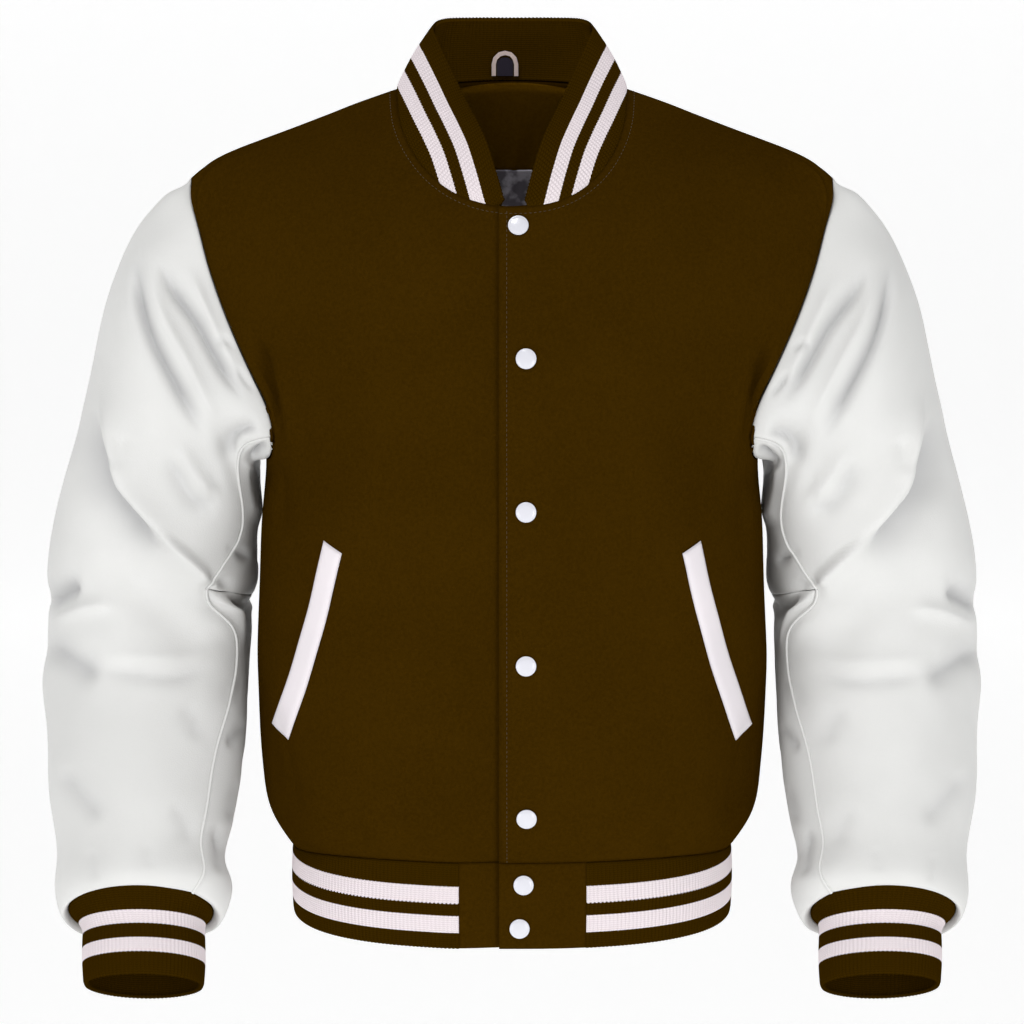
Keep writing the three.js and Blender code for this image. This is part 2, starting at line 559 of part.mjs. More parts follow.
// The left sleeve's rings, worked from its table and the armhole loop.
function sleeveGrid(loop, side) {
  const frames = sleeveRings.map((ring) => {
    const outer = vector(ring.outX, ring.y, ring.outZ);
    const inner = vector(ring.inX, ring.y, ring.inZ);
    const tilt = ring.tilt * degrees;
    return {
      middle: between(outer, inner, 0.5),
      across: outer.clone().sub(inner).multiplyScalar(0.5),
      forward: vector(0, -ring.depth * Math.cos(tilt), ring.depth * Math.sin(tilt)),
      arm: ring.arm,
    };
  });
  const first = frames[0];
  const firstNormal = first.across.clone().cross(first.forward).normalize();
  const local = loop.map(({ point }) => {
    const from = point.clone().sub(first.middle);
    return {
      across: from.dot(first.across) / first.across.lengthSq(),
      forward: from.dot(first.forward) / first.forward.lengthSq(),
      off: from.dot(firstNormal),
    };
  });
  return frames.map((frame, k) => {
    const normal = frame.across.clone().cross(frame.forward).normalize();
    return local.map((place, i) => {
      if (k === 0) return loop[i].point.clone();
      const turn = columnTurn(i, sleeveRings[k].seam) * degrees;
      const armhole = frame.middle.clone()
        .addScaledVector(frame.across, place.across)
        .addScaledVector(frame.forward, place.forward)
        .addScaledVector(normal, place.off);
      const oval = frame.middle.clone()
        .addScaledVector(frame.across, Math.cos(turn))
        .addScaledVector(frame.forward, Math.sin(turn));
      const p = armhole.lerp(oval, frame.arm);
      const spoke = p.clone().sub(frame.middle).normalize();
      const fade = Math.min(1, k / FOLD_RINGS, (frames.length - 1 - k) / FOLD_RINGS);
      p.addScaledVector(spoke, fade * foldLift(sleeveFolds, side, SLEEVE_ARC, turn / degrees, p.z));
      return clearOfBody(p);
    });
  });
}

function mirrorLoop(loop) {
  return loop.map(({ point, outward }) => ({ point: mirrored(point), outward: mirrored(outward) }));
}

// Edge points of the body round one armhole, as the panels that hold them.
function recordArmholeCuts(isLeft, cuts, frontCuts, backCuts) {
  const backColumn = isLeft ? 0 : back.points[0].length - 1;
  const lastColumn = leftFront.points[0].length - 1;
  let k = 0;
  for (let j = ROWS; j >= SIDE_ROWS; j -= 1) {
    frontCuts.set(`${j},${lastColumn}`, cuts[k]);
    if (j === ROWS || j === SIDE_ROWS) backCuts.set(`${j},${backColumn}`, cuts[k]);
    k += 1;
  }
  for (let j = SIDE_ROWS + 1; j < ROWS; j += 1) {
    backCuts.set(`${j},${backColumn}`, cuts[k]);
    k += 1;
  }
}

const leftFrontCuts = new Map();
const rightFrontCuts = new Map();
const backCuts = new Map();

// The direction straight out of the left cuff at one column of the sleeve.
const cuffTilt = CUFF_TILT * degrees;
function cuffSpoke(column) {
  const turn = (column / SLEEVE_COLUMNS) * 2 * Math.PI;
  return vector(Math.cos(turn), -Math.sin(turn) * Math.cos(cuffTilt), Math.sin(turn) * Math.sin(cuffTilt));
}

// Sleeves, in three panels each: the top sleeve, and the under sleeve above and below the elbow.
function addSleeve(isLeft) {
  const loop = armholeLoop(isLeft);
  const rings = sleeveGrid(isLeft ? loop : mirrorLoop(loop), isLeft ? "left" : "right");
  const outward = gridOutward(rings, true);
  const place = isLeft ? (p) => p : mirrored;
  const points = rings.map((row) => row.map(place));
  const away = outward.map((row) => row.map(place));
  const cuts = loop.map((edge, i) => sharedCut(edge.outward, away[0][i], Math.max(WOOL, LEATHER)));
  recordArmholeCuts(isLeft, cuts, isLeft ? leftFrontCuts : rightFrontCuts, backCuts);
  const lastRing = points.length - 1;
  const cuffRing = points[lastRing].map((point, i) => {
    const spoke = place(cuffSpoke(i));
    return { point, spoke, cut: sharedCut(away[lastRing][i], spoke, RIB_KNIT) };
  });
  const sideName = isLeft ? "left" : "right";
  const material = cloth(LEATHER_COLOUR, 0.45);
  const panel = (name, firstRing, endRing, firstColumn, columns) => {
    const pick = (grid) =>
      grid.slice(firstRing, endRing + 1).map((row) =>
        Array.from({ length: columns + 1 }, (_, i) => row[(firstColumn + i) % SLEEVE_COLUMNS]),
      );
    const grid = { points: pick(points), outward: pick(away) };
    const edgeCuts = new Map();
    for (let i = 0; i <= columns; i += 1) {
      const column = (firstColumn + i) % SLEEVE_COLUMNS;
      if (firstRing === 0) edgeCuts.set(`0,${i}`, cuts[column]);
      if (endRing === lastRing) edgeCuts.set(`${lastRing - firstRing},${i}`, cuffRing[column].cut);
    }
    const seams = {
      left: SLEEVE_EASE,
      right: SLEEVE_EASE,
      bottom: firstRing === 0 ? ARMHOLE_EASE : SLEEVE_EASE,
      top: endRing === lastRing ? HALF_GAP : SLEEVE_EASE,
    };
    const { outer, inner } = panelGrids(grid, LEATHER, seams, edgeCuts);
    addPiece(name, orient(shellGeometry(outer, inner, false)), material.clone());
  };
  const topColumns = SLEEVE_COLUMNS - (BACK_SEAM_COLUMN - FRONT_SEAM_COLUMN);
  const underColumns = BACK_SEAM_COLUMN - FRONT_SEAM_COLUMN;
  panel(`sleeve_top_${sideName}`, 0, lastRing, BACK_SEAM_COLUMN, topColumns);
  panel(`sleeve_under_upper_${sideName}`, 0, CROSS_SEAM_RING, FRONT_SEAM_COLUMN, underColumns);
  panel(`sleeve_under_lower_${sideName}`, CROSS_SEAM_RING, lastRing, FRONT_SEAM_COLUMN, underColumns);
  return cuffRing;
}

// Turns a body's faces outward.
function orient(geometry) {
  const index = geometry.index.array;
  const position = geometry.getAttribute("position");
  const corner = (i) => vector().fromBufferAttribute(position, index[i]);
  let volume = 0;
  for (let i = 0; i < index.length; i += 3) {
    volume += corner(i).dot(corner(i + 1).cross(corner(i + 2)));
  }
  if (volume < 0) {
    for (let i = 0; i < index.length; i += 3) [index[i + 1], index[i + 2]] = [index[i + 2], index[i + 1]];
  }
  return geometry;
}


const leftCuffRing = addSleeve(true);
const rightCuffRing = addSleeve(false);

// A seam path: for each point along it, the point, the body's outward direction, and the panel edge it belongs to.
function seamPath(stretches) {
  const path = [];
  stretches.forEach(({ grid, row, columns, cuts }) => {
    columns.forEach((i) => {
      const point = grid.points[row][i];
      const last = path.at(-1);
      const owner = { cuts, key: `${row},${i}` };
      if (last && last.point.distanceTo(point) < 0.01) last.owners.push(owner);
      else path.push({ point, outward: grid.outward[row][i], owners: [owner] });
    });
  });
  return path;
}

const countUp = (from, to) => Array.from({ length: Math.abs(to - from) + 1 }, (_, i) => from + i * Math.sign(to - from));
const FRONT_COLUMNS = FRONT_NECK_COLUMNS + SHOULDER_COLUMNS;
const BACK_COLUMNS = BACK_NECK_COLUMNS + 2 * SHOULDER_COLUMNS;

const hemPath = seamPath([
  { grid: leftFront, row: 0, columns: countUp(0, FRONT_COLUMNS), cuts: leftFrontCuts },
  { grid: back, row: 0, columns: countUp(0, BACK_COLUMNS), cuts: backCuts },
  { grid: rightFront, row: 0, columns: countUp(FRONT_COLUMNS, 0), cuts: rightFrontCuts },
]);
const neckPath = seamPath([
  { grid: leftFront, row: ROWS, columns: countUp(0, FRONT_NECK_COLUMNS), cuts: leftFrontCuts },
  { grid: back, row: ROWS, columns: countUp(SHOULDER_COLUMNS, BACK_COLUMNS - SHOULDER_COLUMNS), cuts: backCuts },
  { grid: rightFront, row: ROWS, columns: countUp(FRONT_NECK_COLUMNS, 0), cuts: rightFrontCuts },
]);

// The distance along a path at each of its points.
function pathLengths(path) {
  const lengths = [0];
  for (let i = 1; i < path.length; i += 1) {
    lengths.push(lengths[i - 1] + path[i].point.distanceTo(path[i - 1].point));
  }
  return lengths;
}

// The stretch of a path between two distances, with new points at its ends.
function cutPath(path, from, to) {
  const lengths = pathLengths(path);
  const at = (distance) => {
    const beyond = lengths.findIndex((length) => length > distance);
    const i = beyond < 0 ? path.length - 1 : Math.max(beyond, 1);
    const share = (distance - lengths[i - 1]) / (lengths[i] - lengths[i - 1]);
    const mix = (key) => between(path[i - 1][key], path[i][key], share);
    return { point: mix("point"), outward: mix("outward"), cut: mix("cut") };
  };
  const closeness = 0.5;
  const middle = path.filter((_, i) => lengths[i] > from + closeness && lengths[i] < to - closeness);
  return [at(from), ...middle, at(to)];
}

// The distance along a path at which it passes a given x, counted from its start or from its end.
function distanceAtX(path, x, fromEnd) {
  const lengths = pathLengths(path);
  const order = countUp(1, path.length - 1);
  if (fromEnd) order.reverse();
  const i = order.find((k) => (path[k - 1].point.x - x) * (path[k].point.x - x) <= 0);
  const share = (x - path[i - 1].point.x) / (path[i].point.x - path[i - 1].point.x);
  return lerp(lengths[i - 1], lengths[i], share);
}

// Rib knit along a path of stations. Each station has its column of points, the outward direction of each and
// the cut at the seam. The ribs rise out of the seam in the outer skin, and the inside is plain.
function ribKnitGeometry(stations, closed, seams) {
  const wrapped = closed ? [...stations, stations[0]] : stations;
  const rows = stations[0].points.length;
  const plain = (station) => station.points.map((p, r) => {
    const cut = r === 0 ? station.cut : station.outward[r].clone().multiplyScalar(-RIB_KNIT);
    return p.clone().add(cut);
  });
  const shifted = wrapped.map((station, i) => {
    const next = wrapped[Math.min(i + 1, wrapped.length - 1)];
    const last = wrapped[Math.max(i - 1, 0)];
    const points = station.points.map((p, r) => {
      const moved = p.clone();
      if (r === 0) moved.addScaledVector(station.points[1].clone().sub(p).normalize(), seams.bottom);
      if (seams.left && i === 0) moved.addScaledVector(next.points[r].clone().sub(p).normalize(), HALF_GAP);
      if (seams.right && i === wrapped.length - 1) {
        moved.addScaledVector(last.points[r].clone().sub(p).normalize(), HALF_GAP);
      }
      return moved;
    });
    return { ...station, points };
  });
  const outer = Array.from({ length: rows }, () => []);
  const outerAt = [];
  const lastRow = rows - 1;
  for (let i = 0; i + 1 < shifted.length; i += 1) {
    const [a, b] = [shifted[i], shifted[i + 1]];
    const ribs = Math.max(1, Math.round(a.points[lastRow].distanceTo(b.points[lastRow]) / RIB_PITCH));
    const isLast = i + 2 === shifted.length;
    for (let k = 0; k < 2 * ribs + (isLast ? 1 : 0); k += 1) {
      const share = k / (2 * ribs);
      for (let r = 0; r < rows; r += 1) {
        const raise = k % 2 && r > 0 ? RIB_RAISE : 0;
        const outward = between(a.outward[r], b.outward[r], share).normalize();
        outer[r].push(between(a.points[r], b.points[r], share).addScaledVector(outward, raise));
      }
      outerAt.push((i + share) / (shifted.length - 1));
    }
  }
  const innerStations = closed ? shifted.slice(0, -1) : shifted;
  const inner = Array.from({ length: rows }, (_, r) => innerStations.map((station) => plain(station)[r]));
  if (closed) outer.forEach((row) => row.pop());
  const innerAt = steps(shifted.length - 1);
  return orient(shellGeometry(outer, inner, closed, outerAt, innerAt));
}

// Hem band: a tab at each front end and rib knit the rest of the way round
const level = (direction) => vector(direction.x, direction.y, 0).normalize();
hemPath.forEach((place) => {
  place.cut = sharedCut(place.outward, level(place.outward), RIB_KNIT);
  place.owners.forEach(({ cuts, key }) => cuts.set(key, place.cut));
});
function hemStations(path) {
  return path.map(({ point, outward, cut }) => {
    const side = level(outward);
    const bottom = vector(point.x, point.y, HEM_BOTTOM_Z);
    return { points: [point, bottom], outward: [side, side], cut };
  });
}
function plainBandGeometry(stations, seams) {
  const rows = [0, 1];
  const points = rows.map((r) => stations.map((station) => station.points[r]));
  const outward = rows.map((r) => stations.map((station) => station.outward[r]));
  const cuts = new Map();
  stations.forEach((station, i) => cuts.set(`0,${i}`, station.cut));
  const { outer, inner } = panelGrids({ points, outward }, RIB_KNIT, seams, cuts);
  return orient(shellGeometry(outer, inner, false));
}
const hemLength = pathLengths(hemPath).at(-1);
const leftTabEnd = distanceAtX(hemPath, TAB_SEAM_LEFT_X, false);
const rightTabEnd = distanceAtX(hemPath, TAB_SEAM_RIGHT_X, true);
const hemRib = hemStations(cutPath(hemPath, leftTabEnd, rightTabEnd));
const leftTab = hemStations(cutPath(hemPath, 0, leftTabEnd));
const rightTab = hemStations(cutPath(hemPath, rightTabEnd, hemLength));
addPiece("hem_rib", ribKnitGeometry(hemRib, false, ALL_SEAMS), cloth(RIB_COLOUR, 0.9));
addPiece("hem_tab_left", plainBandGeometry(leftTab, { bottom: HALF_GAP, right: HALF_GAP }), cloth(WOOL_COLOUR, 0.95));
addPiece("hem_tab_right", plainBandGeometry(rightTab, { bottom: HALF_GAP, left: HALF_GAP }), cloth(WOOL_COLOUR, 0.95));

// Collar
const collarX = smoothColumn(collarEdge, "seam", "x");
const collarY = smoothColumn(collarEdge, "seam", "y");
const collarZ = smoothColumn(collarEdge, "seam", "z");
const collarEnd = collarEdge[0].x;
const collarStart = distanceAtX(neckPath, CENTRE_X + collarEnd, false);
const collarStop = distanceAtX(neckPath, CENTRE_X - collarEnd, true);
neckPath.forEach((place) => { place.cut = vector(0, 0, 0); });
const collarPath = cutPath(neckPath, collarStart, collarStop);
const collarLengths = pathLengths(collarPath);
const collarMiddle = collarLengths.at(-1) / 2;
const collarStations = collarPath.map((place, i) => {
  const side = collarLengths[i] < collarMiddle ? 1 : -1;
  const seam = 1 - Math.abs(collarLengths[i] - collarMiddle) / collarMiddle;
  const top = vector(CENTRE_X * (1 - seam) + side * collarX(seam), collarY(seam), collarZ(seam));
  const before = collarPath[Math.max(i - 1, 0)].point;
  const after = collarPath[Math.min(i + 1, collarPath.length - 1)].point;
  const outward = after.clone().sub(before).cross(top.clone().sub(place.point)).normalize();
  const middle = between(place.point, top, 0.5).addScaledVector(outward, COLLAR_BOW * Math.min(1, 3 * seam));
  const cut = sharedCut(place.outward, outward, RIB_KNIT);
  (place.owners ?? []).forEach(({ cuts, key }) => cuts.set(key, cut));
  return { points: [place.point, middle, top], outward: [outward, outward, outward], cut };
});
addPiece("collar", ribKnitGeometry(collarStations, false, { bottom: COLLAR_EASE }), cloth(RIB_COLOUR, 0.9));

// Cuffs: rib knit that flares from the wrist out to the sleeve's last ring
function addCuff(isLeft, ring) {
  const place = isLeft ? (p) => p : mirrored;
  const last = sleeveRings.at(-1);
  const along = vector(0, -Math.sin(cuffTilt), -Math.cos(cuffTilt));
  const middle = vector((last.outX + last.inX) / 2, last.y, (last.outZ + last.inZ) / 2);
  const stations = ring.map(({ point, spoke, cut }, i) => {
    const turn = (i / SLEEVE_COLUMNS) * 2 * Math.PI;
    const rest = cuffRings.map((cuff) => place(middle.clone()
      .addScaledVector(along, cuff.along)
      .addScaledVector(vector(1, 0, 0), cuff.halfWidth * Math.cos(turn) - cuff.inset)
      .addScaledVector(vector(0, -Math.cos(cuffTilt), Math.sin(cuffTilt)), cuff.halfDepth * Math.sin(turn))));
    return { points: [point, ...rest], outward: [spoke, spoke, spoke], cut };
  });
  const geometry = ribKnitGeometry(stations, true, { bottom: HALF_GAP });
  addPiece(`cuff_${isLeft ? "left" : "right"}`, geometry, cloth(RIB_COLOUR, 0.9));
}

addCuff(true, leftCuffRing);
addCuff(false, rightCuffRing);

// Body panels, once every seam's cut is known
function addBodyPanel(name, grid, cuts) {
  const { outer, inner } = panelGrids(grid, WOOL, ALL_SEAMS, cuts);
  addPiece(name, orient(shellGeometry(outer, inner, false)), cloth(WOOL_COLOUR, 0.95));
  return { outer, inner };
}
const leftFrontSkin = addBodyPanel("front_left", leftFront, leftFrontCuts).outer;
const rightFrontSkin = addBodyPanel("front_right", rightFront, rightFrontCuts).outer;
const backInside = addBodyPanel("back", back, backCuts).inner;

// The place on a panel's outer skin that is seen from the front at x and z, and the way the panel faces there.
function surfaceAt(skin, x, z) {
  for (let j = 0; j + 1 < skin.length; j += 1) {
    for (let i = 0; i + 1 < skin[j].length; i += 1) {
      const [a, b, c, d] = [skin[j][i], skin[j][i + 1], skin[j + 1][i + 1], skin[j + 1][i]];
      for (const [p, q, r] of [[a, b, c], [a, c, d]]) {
        const area = (q.x - p.x) * (r.z - p.z) - (r.x - p.x) * (q.z - p.z);
        const s = ((x - p.x) * (r.z - p.z) - (r.x - p.x) * (z - p.z)) / area;
        const t = ((q.x - p.x) * (z - p.z) - (x - p.x) * (q.z - p.z)) / area;
        if (s < 0 || t < 0 || s + t > 1) continue;
        const along = q.clone().sub(p);
        const up = r.clone().sub(p);
        const facing = along.clone().cross(up).normalize();
        if (facing.y > 0) facing.negate();
        return { point: p.clone().addScaledVector(along, s).addScaledVector(up, t), facing };
      }
    }
  }
  throw new Error(`no cloth at ${x}, ${z}`);
}

// A thin piece laid on a panel: a grid of front-view places, lifted off the panel's skin.
function laidPiece(skin, places, thickness, lift) {
  const found = places.map((row) => row.map(({ x, z }) => surfaceAt(skin, x, z)));
  const raise = (height) => found.map((row) => row.map(({ point, facing }) =>
    point.clone().addScaledVector(facing, height)));
  return orient(shellGeometry(raise(lift + thickness), raise(lift), false));
}

// Pocket welts: a strip down each front, a little bowed, from its top to its bottom.
const weltTop = { x: 133.5, z: -337 };
const weltBottom = { x: 177.5, z: -488 };
const WELT_BOW = 3;
const WELT_END_SLANT = 4;
function weltPlaces(side) {
  const segments = 14;
  const across = 2;
  return steps(segments).map((v) => steps(across).map((u) => {
    const x = lerp(weltTop.x, weltBottom.x, v) - WELT_BOW * Math.sin(Math.PI * v);
    const z = lerp(weltTop.z, weltBottom.z, v);
    const offset = (u - 0.5) * WELT_WIDTH;
    return { x: side * (x + offset), z: z + offset * (WELT_END_SLANT / WELT_WIDTH) * 2 };
  }));
}

// Snaps: a low domed cap on the left front and on its hem tab.
const snapPlaces = [
  { on: "front", x: 4.6, z: -98.3 },
  { on: "front", x: 10.3, z: -194 },
  { on: "front", x: 10.3, z: -306.4 },
  { on: "front", x: 10.4, z: -421.6 },
  { on: "front", x: 10.9, z: -538.9 },
  { on: "hem tab", x: 8.7, z: -593.5 },
  { on: "hem tab", x: 5.7, z: -627.5 },
];
const snapProfile = [
  new THREE.Vector2(0, 0),
  new THREE.Vector2(SNAP_RADIUS - 0.6, 0),
  new THREE.Vector2(SNAP_RADIUS, SNAP_HEIGHT * 0.35),
  new THREE.Vector2(SNAP_RADIUS - 0.7, SNAP_HEIGHT * 0.8),
  new THREE.Vector2(SNAP_RADIUS - 2.2, SNAP_HEIGHT),
  new THREE.Vector2(0, SNAP_HEIGHT),
];
const SNAP_SIDES = 11;
function addSnap(number, skin, { x, z }) {
  const rim = SNAP_RADIUS;
  const middle = surfaceAt(skin, x, z).point;
  const east = surfaceAt(skin, x + rim, z).point;
  const west = surfaceAt(skin, x - rim, z).point;
  const above = surfaceAt(skin, x, z + rim).point;
  const below = surfaceAt(skin, x, z - rim).point;
  const facing = east.sub(west).cross(above.clone().sub(below)).normalize();
  if (facing.y > 0) facing.negate();
  const lifts = steps(SNAP_SIDES).map((turn) => {
    const angle = turn * 2 * Math.PI;
    const { point } = surfaceAt(skin, x + rim * Math.cos(angle), z + rim * Math.sin(angle));
    return point.sub(middle).dot(facing);
  });
  const lift = Math.max(0, ...lifts) + LAY_GAP;
  const snap = addPiece(`snap_${number}`, new THREE.LatheGeometry(snapProfile, SNAP_SIDES), cloth(0xf0ebf2, 0.3));
  snap.position.copy(middle).addScaledVector(facing, lift);
  snap.quaternion.setFromUnitVectors(vector(0, 1, 0), facing);
}

const WELT_LIFT = 1.4;
const weltMaterial = cloth(0xede7eb, 0.5);
addPiece("pocket_welt_left", laidPiece(leftFrontSkin, weltPlaces(1), WELT_THICKNESS, WELT_LIFT), weltMaterial);
const rightWelt = laidPiece(rightFrontSkin, weltPlaces(-1), WELT_THICKNESS, WELT_LIFT);
addPiece("pocket_welt_right", rightWelt, weltMaterial.clone());
const tabSkin = [leftTab.map(({ points }) => points[0]), leftTab.map(({ points }) => points[1])];
snapPlaces.forEach((place, i) => addSnap(i + 1, place.on === "front" ? leftFrontSkin : tabSkin, place));

// Inside the back: a wool facing under the collar, and the top of the lining below it, laid on the back's wall.
const FACING_BOTTOM_Z = -65;
const LINING_BOTTOM_Z = -120;
const INSIDE_HALF_WIDTH = 84;
const INSIDE_LIFT = 1.1;
const INSIDE_COLUMNS = 10;
function insidePlaces(topZ, bottomZ, rows) {
  return steps(rows).map((v) => steps(INSIDE_COLUMNS).map((u) => {
    const x = (2 * u - 1) * INSIDE_HALF_WIDTH;
    return { x, z: lerp(bottomZ, topZ(x), v) };
  }));
}
const facingTopZ = (x) => BACK_NECK_RISE - 6 - 10 * (x / INSIDE_HALF_WIDTH) ** 2;
const facingPlaces = insidePlaces(facingTopZ, FACING_BOTTOM_Z + 2 * HALF_GAP, 2);
const liningPlaces = insidePlaces(() => FACING_BOTTOM_Z, LINING_BOTTOM_Z, 2);
addPiece("back_neck_facing", laidPiece(backInside, facingPlaces, WOOL / 2, INSIDE_LIFT), cloth(WOOL_COLOUR, 0.95));
addPiece("back_lining", laidPiece(backInside, liningPlaces, LINING, INSIDE_LIFT), cloth(LINING_COLOUR, 0.35));

// Hanger loop and the plain label patch inside it, laid on the collar's inner face at the back
const collarInside = [0, 1, 2].map((r) => collarStations
  .filter(({ points }) => points[0].y > 40)
  .map(({ points, outward, cut }) => points[r].clone().add(r ? outward[r].clone().multiplyScalar(-RIB_KNIT) : cut)));
const loopMiddle = { x: -5.5, z: 17 };
const LOOP_RADIUS = 9;
const LOOP_TAPE = 3.2;
const LOOP_FOOT = 9;
const loopPlaces = steps(10).map((v) => [0, 1].map((u) => {
  const radius = LOOP_RADIUS + (u - 0.5) * LOOP_TAPE;
  const legShare = 0.2;
  if (v < legShare) return { x: loopMiddle.x + radius, z: loopMiddle.z - LOOP_FOOT * (1 - v / legShare) };
  if (v > 1 - legShare) return { x: loopMiddle.x - radius, z: loopMiddle.z - LOOP_FOOT * (1 - (1 - v) / legShare) };
  const angle = Math.PI * (v - legShare) / (1 - 2 * legShare);
  return { x: loopMiddle.x + radius * Math.cos(angle), z: loopMiddle.z + radius * Math.sin(angle) };
}));
addPiece("hanger_loop", laidPiece(collarInside, loopPlaces, 1.4, 0.5), cloth(0xe8cfc6, 0.8));
const LABEL_HALF_WIDTH = 6.2;
const LABEL_TOP = 5.5;
const labelPlaces = steps(5).map((v) => steps(3).map((u) => {
  const x = (u * 2 - 1) * LABEL_HALF_WIDTH;
  const top = LABEL_TOP * Math.sqrt(1 - 0.8 * (x / LABEL_HALF_WIDTH) ** 2);
  return { x: loopMiddle.x + x, z: loopMiddle.z + lerp(-LOOP_FOOT, top, v) };
}));
addPiece("neck_label", laidPiece(collarInside, labelPlaces, 0.8, 0.5), cloth(0x2a2030, 0.6));

export default jacket;
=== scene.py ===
# %% [markdown]
# # A varsity jacket, filled out as if worn
# A real one is cut flat and sewn: two wool fronts and a back, leather sleeves in three panels each, and rib
# knit at the neck, wrists and hem. Here every piece is dressed over the pattern solid of the same name, in
# metres.

# %% Open the frame
import math

import bmesh
import bpy
import numpy as np
from mathutils import Matrix, Vector, noise
from mathutils.bvhtree import BVHTree
from mathutils.kdtree import KDTree


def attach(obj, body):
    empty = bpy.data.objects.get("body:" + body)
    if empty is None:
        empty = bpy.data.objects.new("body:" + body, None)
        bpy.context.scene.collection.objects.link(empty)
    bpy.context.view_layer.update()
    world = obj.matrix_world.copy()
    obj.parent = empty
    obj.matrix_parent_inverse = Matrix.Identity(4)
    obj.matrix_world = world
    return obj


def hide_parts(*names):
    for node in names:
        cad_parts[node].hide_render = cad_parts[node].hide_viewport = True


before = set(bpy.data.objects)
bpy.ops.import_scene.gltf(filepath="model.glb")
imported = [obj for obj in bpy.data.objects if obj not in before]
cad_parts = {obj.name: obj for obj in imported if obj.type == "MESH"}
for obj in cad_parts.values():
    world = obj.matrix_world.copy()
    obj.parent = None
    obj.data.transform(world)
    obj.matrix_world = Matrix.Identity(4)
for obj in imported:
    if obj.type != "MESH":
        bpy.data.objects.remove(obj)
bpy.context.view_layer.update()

MM = 0.001

# %% [markdown]
# ## The camera
# The camera stands level with the top of the collar and looks slightly down, as for a catalogue picture. It
# is made first, because the creases are placed by where they are seen in the picture. A long lens keeps the
# sleeves from looking larger than the body.

# %% Camera
EYE = np.array([0.0, -2.35, 0.0528])
LOOKS_DOWN = math.radians(9.2)
PICTURE = 1024
FOCAL = 3050
SENSOR = 36.0
camera_data = bpy.data.cameras.new("camera")
camera_data.sensor_width = SENSOR
camera_data.lens = SENSOR * FOCAL / PICTURE
camera = bpy.data.objects.new("camera", camera_data)
camera.location = EYE
camera.rotation_euler = (math.pi / 2 - LOOKS_DOWN, 0, 0)
bpy.context.scene.collection.objects.link(camera)
bpy.context.scene.camera = camera


def in_picture(points):
    """Where points are seen, in pixels from the picture's top left corner."""
    away = points - EYE
    depth = away[:, 1] * math.cos(LOOKS_DOWN) - away[:, 2] * math.sin(LOOKS_DOWN)
    up = away[:, 1] * math.sin(LOOKS_DOWN) + away[:, 2] * math.cos(LOOKS_DOWN)
    return np.stack([PICTURE / 2 + FOCAL * away[:, 0] / depth, PICTURE / 2 - FOCAL * up / depth], axis=1)


print("lens", round(camera_data.lens, 1), "mm")

# %% [markdown]
# ## Shader maths as plain sums
# Every finish below is worked out with nodes. Wiring them by hand hides the idea, so a small class wraps a
# socket and lets a weave be written as `warp * weft * 0.5 + 0.5`, while each sum still becomes a Math node.


# %% Shader helpers
class Wire:
    """A socket that can be used in sums."""

    def __init__(self, finish, socket):
        self.finish = finish
        self.socket = socket

    def sum(self, operation, first, second=None):
        return self.finish.node("ShaderNodeMath", {"operation": operation}, {0: first, 1: second})

    def __add__(self, other):
        return self.sum("ADD", self, other)

    def __sub__(self, other):
        return self.sum("SUBTRACT", self, other)

    def __mul__(self, other):
        return self.sum("MULTIPLY", self, other)

    def __truediv__(self, other):
        return self.sum("DIVIDE", self, other)

    def __gt__(self, other):
        return self.sum("GREATER_THAN", self, other)

    def __lt__(self, other):
        return self.sum("LESS_THAN", self, other)

    __radd__ = __add__
    __rmul__ = __mul__

    def sine(self):
        return self.sum("SINE", self)

    def size(self):
        return self.sum("ABSOLUTE", self)

    def part(self):
        return self.sum("FRACT", self)


class Finish:
    """A material with one Principled shader, and short ways to feed it."""

    def __init__(self, name, colour, roughness, **constants):
        self.material = bpy.data.materials.new(name)
        self.material.use_nodes = True
        self.tree = self.material.node_tree
        self.shader = self.tree.nodes["Principled BSDF"]
        self.shader.inputs["Base Color"].default_value = (*colour, 1)
        self.shader.inputs["Roughness"].default_value = roughness
        for socket, value in constants.items():
            self.shader.inputs[socket.replace("_", " ")].default_value = value

    def node(self, kind, settings=None, values=None, output=0):
        """Adds a node: its settings first, then the value or link of each socket."""
        node = self.tree.nodes.new(kind)
        for key, value in (settings or {}).items():
            setattr(node, key, value)
        for key, value in (values or {}).items():
            if value is None:
                continue
            if isinstance(value, Wire):
                self.tree.links.new(value.socket, node.inputs[key])
            else:
                node.inputs[key].default_value = value
        return Wire(self, node.outputs[output])

    def place(self):
        return self.node("ShaderNodeTexCoord", output="Object")

    def along(self):
        """The piece's own cloth map: metres along the cloth and metres from its free edge."""
        cloth = self.node("ShaderNodeUVMap", {"uv_map": "cloth"})
        return self.part_of(cloth, 0), self.part_of(cloth, 1)

    def part_of(self, vector, axis):
        return self.node("ShaderNodeSeparateXYZ", {}, {0: vector}, output=axis)

    def noise(self, scale, detail):
        values = {"Vector": self.place(), "Scale": scale, "Detail": detail}
        return self.node("ShaderNodeTexNoise", {}, values)

    def cells(self, scale):
        return self.node("ShaderNodeTexVoronoi", {}, {"Vector": self.place(), "Scale": scale})

    def mix(self, factor, first, second):
        colours = {0: factor, 6: first, 7: second}
        return self.node("ShaderNodeMix", {"data_type": "RGBA"}, colours, output=2)

    def steps(self, value, low, high):
        """0 below low, 1 above high and a soft step between them."""
        values = {0: value, 1: low, 2: high}
        return self.node("ShaderNodeMapRange", {"interpolation_type": "SMOOTHSTEP"}, values)

    def feed(self, socket, value):
        self.tree.links.new(value.socket, self.shader.inputs[socket])

    def bump(self, height, strength, distance):
        values = {"Height": height, "Strength": strength, "Distance": distance}
        return self.node("ShaderNodeBump", {}, values)


